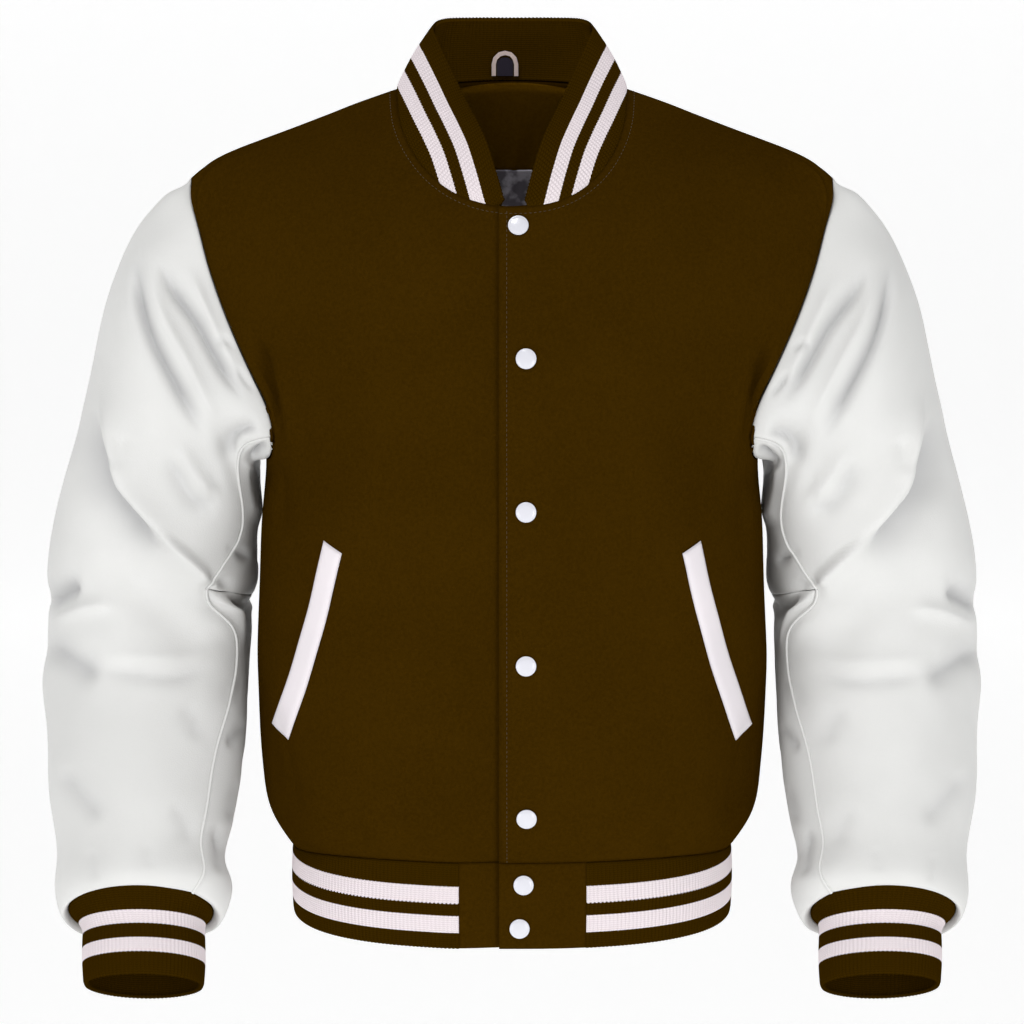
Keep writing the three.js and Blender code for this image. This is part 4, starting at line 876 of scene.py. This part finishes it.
# %% Hem
HEM_BOTTOM = -644 * MM
TAB_LEFT_X = 56 * MM
TAB_RIGHT_X = -40 * MM
HEM_DROP = 0.3 * MM


def body_axis(points):
    return points * np.array([0, 0, 1])


left_hem, back_hem, right_hem = around_body((90, -110, -577), (0, 120, -577))


def point_at(path, x):
    """The point of a path that runs towards +x, where it passes x."""
    return np.array([[x, np.interp(x, path[:, 0], path[:, 1]), np.interp(x, path[:, 0], path[:, 2])]])


left_end, right_end = point_at(left_hem, TAB_LEFT_X), point_at(right_hem, TAB_RIGHT_X)
left_tab = np.vstack([left_hem[left_hem[:, 0] < TAB_LEFT_X], left_end])
right_tab = np.vstack([right_end, right_hem[right_hem[:, 0] > TAB_RIGHT_X]])
left_rest = left_hem[left_hem[:, 0] > TAB_LEFT_X]
right_rest = right_hem[right_hem[:, 0] < TAB_RIGHT_X]
around = np.vstack([left_end, left_rest, back_hem, right_rest, right_end])


def hem_rows(path, columns, shares):
    top = follow(path, np.linspace(0, 1, columns + 1)) - np.array([0, 0, HEM_DROP])
    bottom = top * np.array([1, 1, 0]) + np.array([0, 0, HEM_BOTTOM])
    out = unit(top * np.array([1, 1, 0]))
    rows = []
    for share in shares:
        bulge = 1.0 * MM * math.sin(math.pi * share) - 0.7 * MM * max(0, (share - 0.96) / 0.04)
        rows.append(top + (bottom - top) * share + out * bulge)
    heights = [np.linalg.norm(row - bottom, axis=1) for row in rows]
    return rows, heights


def length_of(path):
    return float(np.linalg.norm(np.diff(path, axis=0), axis=1).sum())


HEM_SHARES = [0, 0.03, 0.08, 0.2, 0.35, 0.5, 0.65, 0.8, 0.92, 0.975, 1]
ribs = round(length_of(around) / RIB_PITCH)
rows, heights = hem_rows(around, ribs * COLUMNS_PER_RIB, HEM_SHARES)
hem = add_band("hem_band", band_mesh("hem_band", rows, heights, body_axis), "hem_rib", knit_hem, knit_inside)
length_of(around)
for name, path in (("hem_tab_left", left_tab), ("hem_tab_right", right_tab)):
    rows, heights = hem_rows(path, 30, HEM_SHARES)
    mesh = band_mesh(name, rows, heights, body_axis, ribbed=False)
    tab = add_piece(f"{name}_cloth", mesh, name, wool)
    give_wall(tab, 3.2 * MM)
    length_of(path)

# %% [markdown]
# ## Cuffs
# A cuff starts as wide as the leather it is sewn to and draws in to the wrist within two centimetres, which
# is what makes the leather blouse over it. Its rings are ovals square to the forearm, which leans forward.

# %% Cuffs
CUFF_TILT = math.radians(29)
CUFF_MIDDLE = np.array([285, -86, -624.25]) * MM
CUFF_DOWN = np.array([0, -math.sin(CUFF_TILT), -math.cos(CUFF_TILT)])
CUFF_FORWARD = np.array([0, -math.cos(CUFF_TILT), math.sin(CUFF_TILT)])
FLARE = 18 * MM
CUFF_LONG = 64 * MM
# how much shorter the cuff is than its cut at its middle, and how much more that is in front
MOUTH_SHORTER = (5.7, 2.0)
# half width and half depth, in millimetres, of the leather's end and of the cuff below its flare
SLEEVE_END = (55, 56.5)
WRIST = (46, 41)
MEAN_RADIUS = 43 * MM
CUFF_STEPS = [0, 1.2, 3, 6, 9, 12, 15, 18, 24, 32, 40, 48, 56, 61, 63.2, 64]


def oval(turns, down, inset, half_width, half_depth):
    across = np.array([1.0, 0, 0])
    spread = np.cos(turns)[:, None] * across * half_width + np.sin(turns)[:, None] * CUFF_FORWARD * half_depth
    shorter = (MOUTH_SHORTER[0] + MOUTH_SHORTER[1] * np.sin(turns)) * MM * smoothstep(FLARE, CUFF_LONG, down)
    return CUFF_MIDDLE + CUFF_DOWN * (down - shorter)[:, None] - across * inset + spread


def make_cuff(side):
    word = "left" if side > 0 else "right"
    flip = np.array([side, 1, 1])
    top = chain_points(f"sleeve_top_{word}", (side * 300, -90, -622))
    under = chain_points(f"sleeve_under_lower_{word}", (side * 232, -90, -620))
    ring = np.vstack([top, under]) * flip
    away = ring - CUFF_MIDDLE
    turns = np.arctan2(away @ CUFF_FORWARD / SLEEVE_END[1], away[:, 0] / SLEEVE_END[0])
    order = np.argsort(turns)
    turns, ring = turns[order], ring[order]
    turns = np.concatenate([turns[-1:] - 2 * np.pi, turns, turns[:1] + 2 * np.pi])
    ring = np.vstack([ring[-1:], ring, ring[:1]])
    ribs = round(2 * math.pi * MEAN_RADIUS / RIB_PITCH)
    at = np.linspace(-np.pi, np.pi, ribs * COLUMNS_PER_RIB + 1)
    seam = np.stack([np.interp(at, turns, ring[:, k]) for k in range(3)], axis=1)
    seam += CUFF_DOWN * 0.3 * MM
    rows = []
    for step in CUFF_STEPS:
        down = step * MM
        if down < FLARE:
            below = oval(at, down, 3 * MM * down / FLARE, WRIST[0] * MM, WRIST[1] * MM)
            share = 1 - (1 - down / FLARE) ** 2
            rows.append((seam + CUFF_DOWN * down) * (1 - share) + below * share)
        else:
            share = (down - FLARE) / (CUFF_LONG - FLARE)
            lip = 1.1 * MM * max(0, (step - 61) / 3) ** 2
            bulge = 0.8 * MM * math.sin(math.pi * share)
            size = np.array([WRIST[0] - share, WRIST[1] - 2 * share]) * MM + bulge - lip
            rows.append(oval(at, down, (3 + 1.5 * share) * MM, *size))
    rows = [row * flip for row in rows]
    heights = [np.linalg.norm(row - rows[-1], axis=1) for row in rows]

    def axis(points):
        reach = ((points * flip - CUFF_MIDDLE) @ CUFF_DOWN)[:, None]
        return (CUFF_MIDDLE + reach * CUFF_DOWN) * flip

    mesh = band_mesh(f"cuff_{word}", rows, heights, axis, closed=True)
    cuff = add_band(f"cuff_{word}_band", mesh, f"cuff_{word}", knit_cuff, knit_inside)


for side in (1, -1):
    make_cuff(side)

# %% [markdown]
# ## Collar
# The collar is a standing band whose front ends taper to a point. Its upper edge is a short table, from a
# front end to the centre back, read by how much of the neck seam has been passed. Between seam and edge it
# bows out a little, as a doubled strip of knit does.

# %% Collar
# share of the seam passed, then x, y and z in millimetres
COLLAR_EDGE = [
    (0, 8, -91, -79),
    (0.1, 14.5, -78, -56),
    (0.17, 21, -62, -37),
    (0.25, 28, -48, -22.5),
    (0.35, 36, -32, -8),
    (0.44, 44, -13, 8),
    (0.56, 58, 20, 36),
    (0.66, 62, 38, 46),
    (0.78, 54, 50, 52),
    (0.89, 30, 60, 53),
    (1, 0, 62, 53),
]
COLLAR_LEFT_X = 9.8 * MM
COLLAR_RIGHT_X = -6.2 * MM
COLLAR_CENTRE = 1.8
COLLAR_BOW = 4.5
COLLAR_EASE = -0.6 * MM


def smooth_column(keys, values, at):
    """A smooth curve through a column of a table."""
    keys, values = np.array(keys, float), np.array(values, float)
    slopes = np.gradient(values, keys)
    slopes[1:-1] = (values[2:] - values[:-2]) / (keys[2:] - keys[:-2])
    i = np.clip(np.searchsorted(keys, at, side="right") - 1, 0, len(keys) - 2)
    span = keys[i + 1] - keys[i]
    t = (at - keys[i]) / span
    rise, run, fall = slopes[i] * span, slopes[i + 1] * span, values[i + 1] - values[i]
    return values[i] + t * (rise + t * (3 * fall - 2 * rise - run + t * (rise + run - 2 * fall)))


left_neck, back_neck, right_neck = around_body((50, -70, -60), (0, 60, 3))
left_neck = left_neck[left_neck[:, 0] > COLLAR_LEFT_X]
right_neck = right_neck[right_neck[:, 0] < COLLAR_RIGHT_X]
neck = np.vstack([left_neck, back_neck, right_neck])
ribs = round(length_of(neck) / RIB_PITCH)
shares = np.linspace(0, 1, ribs * COLUMNS_PER_RIB + 1)
seam = follow(neck, shares)
passed = 1 - np.abs(2 * shares - 1)
side = np.where(shares < 0.5, 1, -1)
keys = [row[0] for row in COLLAR_EDGE]
edge_x = COLLAR_CENTRE * (1 - passed) + side * smooth_column(keys, [row[1] for row in COLLAR_EDGE], passed)
edge_y, edge_z = [smooth_column(keys, [row[k] for row in COLLAR_EDGE], passed) for k in (2, 3)]
edge = np.stack([edge_x, edge_y, edge_z], axis=1) * MM
rise = unit(edge - seam)
seam = seam + rise * COLLAR_EASE
out = unit(np.cross(np.gradient(seam, axis=0), rise))
if (out * (seam - body_axis(seam))).sum() < 0:
    out = -out
COLLAR_SHARES = [0, 0.03, 0.08, 0.16, 0.26, 0.38, 0.5, 0.62, 0.74, 0.84, 0.92, 0.97, 1]
bow = COLLAR_BOW * MM * np.minimum(1, 3 * passed)
rows = []
for share in COLLAR_SHARES:
    lip = 0.9 * MM * max(0, (share - 0.92) / 0.08) ** 2
    rows.append(seam + (edge - seam) * share + out * (4 * share * (1 - share) * bow - lip)[:, None])
edge_tree = KDTree(len(edge))
for i, point in enumerate(edge):
    edge_tree.insert(point, i)
edge_tree.balance()
heights = [[edge_tree.find(point)[2] for point in row] for row in rows]
collar_mesh = band_mesh("collar_band", rows, heights, body_axis)
collar = add_band("collar_band", collar_mesh, "collar", knit_collar, knit_plain)
length_of(neck)

# %% [markdown]
# ## Finding the cloth
# Welts, snaps and stitches lie on the cloth. A ray through a place seen from the front, or from inside the
# back, finds the point of the skin and the way it faces there.


# %% Rays
def tree_of(name):
    mesh = smooth[name][0]
    return BVHTree.FromPolygons([v.co for v in mesh.vertices], [p.vertices for p in mesh.polygons])


trees = {name: tree_of(name) for name in ("front_left", "front_right", "back")}


def on_front(name, x, z):
    point, facing, _, _ = trees[name].ray_cast(Vector((x, -0.4, z)), Vector((0, 1, 0)))
    if point is None:
        point, facing, _, _ = trees[name].find_nearest(Vector((x, -0.12, z)))
    return point, (facing if facing.y < 0 else -facing)


# %% [markdown]
# ## Pocket welts
# A welt is a folded strip of leather that finishes a slanting pocket. It is a grid laid along a slightly
# bowed line, lifted off the wool, with its long edges rolled down so that it looks folded rather than cut.

# %% Welts
WELT_TOP = (133.5, -337)
WELT_BOTTOM = (177.5, -488)
WELT_WIDE = 14
WELT_LONG = 158
WELT_BOW = 3
WELT_SLANT = 8
WELT_LONG_STEPS, WELT_CROSS_STEPS = 64, 10


def turn_to_front(bm):
    bm.normal_update()
    if sum(face.normal.y for face in bm.faces) > 0:
        bmesh.ops.reverse_faces(bm, faces=bm.faces[:])


def make_welt(side):
    word = "left" if side > 0 else "right"
    bm = bmesh.new()
    bmesh.ops.create_grid(bm, x_segments=WELT_CROSS_STEPS, y_segments=WELT_LONG_STEPS, size=0.5)
    cloth = bm.loops.layers.uv.new("cloth")
    for face in bm.faces:
        for loop in face.loops:
            loop[cloth].uv = (loop.vert.co.x * WELT_WIDE * MM, loop.vert.co.y * WELT_LONG * MM)
    for vert in bm.verts:
        u, v = vert.co.x, vert.co.y + 0.5
        x = WELT_TOP[0] + (WELT_BOTTOM[0] - WELT_TOP[0]) * v - WELT_BOW * math.sin(math.pi * v)
        z = WELT_TOP[1] + (WELT_BOTTOM[1] - WELT_TOP[1]) * v
        point, facing = on_front(f"front_{word}", side * (x + u * WELT_WIDE) * MM, (z + u * WELT_SLANT) * MM)
        rolled = max(abs(2 * u) ** 5, abs(2 * v - 1) ** 40)
        lift = 0.9 + 2.1 * (1 - rolled) + 0.25 * math.sin(v * 17 + side)
        vert.co = point + facing * lift * MM
    turn_to_front(bm)
    mesh = finished_mesh(f"welt_{word}", bm)
    welt = add_piece(f"pocket_welt_{word}_strip", mesh, f"pocket_welt_{word}", welt_leather)
    give_wall(welt, 0.9 * MM)


for side in (1, -1):
    make_welt(side)

# %% [markdown]
# ## Snap caps
# A cap is turned metal with white enamel: a low dome with a rolled rim. Its half profile is spun once round
# its axis, and the copy sits where the pattern's cap is, facing the same way.

# %% Snaps
# radius and height
SNAP_PROFILE = [
    (0, 2.75), (2.4, 2.7), (4.6, 2.5), (5.9, 2.25), (6.5, 1.95), (6.75, 1.8),
    (7.1, 1.85), (7.4, 1.75), (7.6, 1.4), (7.6, 0.9), (7.3, 0.4), (6.9, 0),
]


def make_snap(number):
    node = f"snap_{number}"
    corners = np.array([vert.co[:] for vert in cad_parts[node].data.vertices])
    middle = corners.mean(axis=0)
    _, _, axes = np.linalg.svd(corners - middle)
    facing = Vector(axes[2])
    if facing.y > 0:
        facing = -facing
    heights = (corners - middle) @ np.array(facing)
    base = Vector(middle) + facing * float(heights.min())
    bm = bmesh.new()
    ring = [bm.verts.new((r * MM, 0, h * MM)) for r, h in SNAP_PROFILE]
    edges = [bm.edges.new(pair) for pair in zip(ring, ring[1:])]
    bmesh.ops.spin(
        bm, geom=ring + edges, cent=(0, 0, 0), axis=(0, 0, 1), angle=2 * math.pi, steps=48, use_merge=True
    )
    bmesh.ops.remove_doubles(bm, verts=bm.verts[:], dist=1e-6)
    bmesh.ops.holes_fill(bm, edges=[edge for edge in bm.edges if edge.is_boundary], sides=0)
    bmesh.ops.recalc_face_normals(bm, faces=bm.faces[:])
    turn = facing.to_track_quat("Z", "Y").to_matrix().to_4x4()
    bmesh.ops.transform(bm, matrix=Matrix.Translation(base) @ turn, verts=bm.verts[:])
    return add_piece(f"{node}_cap", finished_mesh(node, bm), node, enamel.material)


snaps = [make_snap(number) for number in range(1, 8)]
print("snaps:", len(snaps))

# %% [markdown]
# ## Inside the neck
# Behind the open collar a wool facing and the top of the satin lining show. Both are grids laid on the
# inside of the back. The satin hangs a little slack, so it has soft vertical folds that catch the light.

# %% Facing and lining
INSIDE_HALF = 84
FACING_LOW = -65
LINING_LOW = -120


def below_neck_seam(x):
    """A height that is just below the neck seam of the back, so that a ray at it still meets cloth."""
    return -1 - 10 * (x / INSIDE_HALF) ** 2


def facing_top(x):
    """The facing runs up a little behind the collar."""
    return 4.5 - 8 * (x / INSIDE_HALF) ** 2


def lining_top(x):
    return FACING_LOW


def make_inside(name, node, top, low, slack, material, cover):
    bm = bmesh.new()
    bmesh.ops.create_grid(bm, x_segments=90, y_segments=36, size=0.5)
    for vert in bm.verts:
        u, v = vert.co.x * 2, vert.co.y + 0.5
        x = u * INSIDE_HALF
        z = low + (top(x) - low) * v
        beside = Vector((x * MM, 0, min(z, below_neck_seam(x)) * MM))
        point, facing, _, _ = trees["back"].ray_cast(beside, Vector((0, 1, 0)))
        point.z = z * MM
        if facing.y > 0:
            facing = -facing
        fold = math.sin(x * 0.33 + 1.4 * math.sin(z * 0.06)) + 0.6 * math.sin(x * 0.71 - z * 0.09 + 1)
        vert.co = point + facing * (cover + slack * fold * (1 - v) ** 0.5) * MM
    turn_to_front(bm)
    piece = add_piece(name, finished_mesh(name, bm), node, material)
    give_wall(piece, 0.9 * MM)
    (top(0) - low) * MM


for name, node, top, low, slack, slot, material, cover in (
    ("back_neck_facing_cloth", "back_neck_facing", facing_top, FACING_LOW, 0.3, "wool", facing_wool, 5.0),
    ("back_lining_satin", "back_lining", lining_top, LINING_LOW, 1.0, "lining", satin.material, 5.2),
):
    make_inside(name, node, top, low, slack, material, cover)

for node, material in (("hanger_loop", tape), ("neck_label", patch)):
    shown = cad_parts[node]
    shown.data.materials.clear()
    shown.data.materials.append(material)

# %% [markdown]
# ## Corded seams
# The seams that join the top sleeve to the under sleeve stand up as a narrow bead, because the leather's
# edges are folded under and stitched. A bead is a round tube along the panel's edge, half sunk in the
# leather.

# %% Seam beads
BEAD_RADIUS = 1.15 * MM
BEAD_RISE = 0.35 * MM
# points left off at the upper end, which would stick out above the seam
BEAD_SHORTER = 3


def make_bead(name, path, radius, material):
    curve = bpy.data.curves.new(name, "CURVE")
    curve.dimensions = "3D"
    curve.bevel_depth = radius
    curve.bevel_resolution = 3
    curve.use_fill_caps = True
    line = curve.splines.new("POLY")
    line.points.add(len(path) - 1)
    line.points.foreach_set("co", np.hstack([path, np.ones((len(path), 1))]).ravel())
    loose = bpy.data.objects.new(name, curve)
    bpy.context.scene.collection.objects.link(loose)
    bpy.context.view_layer.update()
    mesh = bpy.data.meshes.new_from_object(loose.evaluated_get(bpy.context.evaluated_depsgraph_get()))
    bpy.data.objects.remove(loose)
    return add_piece(name, mesh, None, material)


BEADS = {"front_upper": (208, -34, -317), "front_lower": (227, -68, -500), "back": (230, 71, -398)}
for word, side in (("left", 1), ("right", -1)):
    name = f"sleeve_top_{word}"
    out = normals_of(smooth[name][0])
    for where, place in BEADS.items():
        chain = edge_near(name, (side * place[0], place[1], place[2]))
        points = points_of(smooth[name][0])[chain] + out[chain] * BEAD_RISE
        if where != "front_lower":
            points = points[BEAD_SHORTER:] if points[0, 2] > points[-1, 2] else points[:-BEAD_SHORTER]
        make_bead(f"seam_bead_{where}_{word}", points, BEAD_RADIUS, leather)

# %% [markdown]
# ## Stitching
# A line of stitches runs beside the neck seam and down the front edge, in thread close to the wool's own
# colour. A stitch is a tiny pill, pressed into the cloth, and all the stitches of one line are a single
# piece.

# %% Stitches
STITCH_LONG = 2.6 * MM
STITCH_GAP = 1.0 * MM
STITCH_RADIUS = 0.32 * MM
STITCH_RISE = 0.12 * MM
EDGE_TO_STITCH = 6 * MM


def inset_path(name, chain, distance):
    """The path that runs beside an edge of a panel, on the cloth."""
    mesh = smooth[name][0]
    points, out = points_of(mesh), normals_of(mesh)
    line, facing = points[chain], out[chain]
    sideways = unit(np.cross(np.gradient(line, axis=0), facing))
    if (sideways * (points.mean(axis=0) - line)).sum() < 0:
        sideways = -sideways
    found = [trees[name].find_nearest(Vector(p)) for p in line + sideways * distance]
    found = [f for f in found if f[3] < distance / 4]
    return np.array([f[0][:] for f in found]), np.array([f[1][:] for f in found])


def make_stitches(name, path, facing, material):
    lengths = lengths_along(path)
    bm = bmesh.new()
    count = int(lengths[-1] / (STITCH_LONG + STITCH_GAP))
    for k in range(count):
        start = (k + 0.15) * (STITCH_LONG + STITCH_GAP)
        places = (start, start + STITCH_LONG)
        ends = [Vector([np.interp(s, lengths, path[:, i]) for i in range(3)]) for s in places]
        out = Vector([np.interp(start, lengths, facing[:, i]) for i in range(3)]).normalized()
        run = (ends[1] - ends[0]).normalized()
        across = out.cross(run).normalized()
        size = Matrix.Diagonal((STITCH_LONG / 2, STITCH_RADIUS, STITCH_RADIUS, 1))
        turn = Matrix((run, across, run.cross(across))).transposed().to_4x4()
        middle = (ends[0] + ends[1]) / 2 + out * STITCH_RISE
        matrix = Matrix.Translation(middle) @ turn @ size
        bmesh.ops.create_icosphere(bm, subdivisions=1, radius=1, matrix=matrix)
    print(name, count, "stitches")
    return add_piece(name, finished_mesh(name, bm), None, material)


for name, place, line in (
    ("front_left", (50, -70, -60), "neck_left"),
    ("front_right", (-50, -70, -60), "neck_right"),
    ("back", (0, 60, 3), "neck_back"),
    ("front_left", (-10, -130, -330), "front_edge"),
):
    path, facing = inset_path(name, edge_near(name, place), EDGE_TO_STITCH)
    make_stitches(f"stitches_{line}", path, facing, thread)

# %% [markdown]
# ## Floor, backdrop and light
# The picture is a catalogue shot on white. One very large sheet sweeps from floor to backdrop, well below
# and behind the jacket, so that no shadow falls on what is seen. A broad light above and in front models
# the folds, two weaker ones low at the sides open up the under sleeves, and the pale surroundings do the
# rest.

# %% Studio
FLOOR_Z = -1.5
FLOOR_HALF = 7
WALL_HIGH = 7
SWEEP = 2.5
WIDER, NEARER = 6, 10
paper = Finish("studio_paper", (0.93, 0.93, 0.93), 0.9, Specular_IOR_Level=0.1)
paper.feed("Roughness", 0.86 + paper.noise(4, 2) * 0.1)
paper.shader.inputs["Emission Color"].default_value = (1, 1, 1, 1)
paper.shader.inputs["Emission Strength"].default_value = 0.42
bm = bmesh.new()
bmesh.ops.create_grid(bm, x_segments=1, y_segments=1, size=FLOOR_HALF)
bmesh.ops.translate(bm, verts=bm.verts[:], vec=(0, 1, FLOOR_Z))
for vert in bm.verts:
    vert.co.x *= WIDER
    if vert.co.y < 0:
        vert.co.y *= NEARER
far = [edge for edge in bm.edges if all(vert.co.y > 0 for vert in edge.verts)]
wall = bmesh.ops.extrude_edge_only(bm, edges=far)
top = [v for v in wall["geom"] if isinstance(v, bmesh.types.BMVert)]
bmesh.ops.translate(bm, verts=top, vec=(0, 0, WALL_HIGH))
bmesh.ops.bevel(
    bm, geom=far, offset=SWEEP, offset_type="OFFSET", segments=16, profile=0.5, affect="EDGES", material=-1
)
backdrop_mesh = finished_mesh("backdrop", bm)
backdrop_mesh.materials.append(paper.material)
backdrop_mesh.polygons.foreach_set("use_smooth", [True] * len(backdrop_mesh.polygons))
backdrop = bpy.data.objects.new("backdrop", backdrop_mesh)
bpy.context.scene.collection.objects.link(backdrop)


def add_light(name, place, target, size, power):
    data = bpy.data.lights.new(name, "AREA")
    data.shape = "RECTANGLE"
    data.size, data.size_y = size
    data.energy = power
    light = bpy.data.objects.new(name, data)
    light.location = place
    light.rotation_euler = (Vector(target) - Vector(place)).to_track_quat("-Z", "Y").to_euler()
    bpy.context.scene.collection.objects.link(light)
    return light


add_light("key", (-0.7, -1.6, 2.6), (0, 0, -0.3), (1.4, 0.9), 37)
add_light("left_fill", (-1.5, -2.2, -0.8), (0.2, 0, -0.4), (1.2, 1.2), 11.5)
add_light("right_fill", (1.5, -2.2, -0.7), (-0.2, 0, -0.4), (1.2, 1.2), 16)
world = bpy.data.worlds.new("studio")
world.use_nodes = True
world.node_tree.nodes["Background"].inputs["Color"].default_value = (1, 1, 1, 1)
world.node_tree.nodes["Background"].inputs["Strength"].default_value = 0.39
bpy.context.scene.world = world
bpy.context.scene.view_settings.view_transform = "Standard"
bpy.context.scene.view_settings.look = "None"
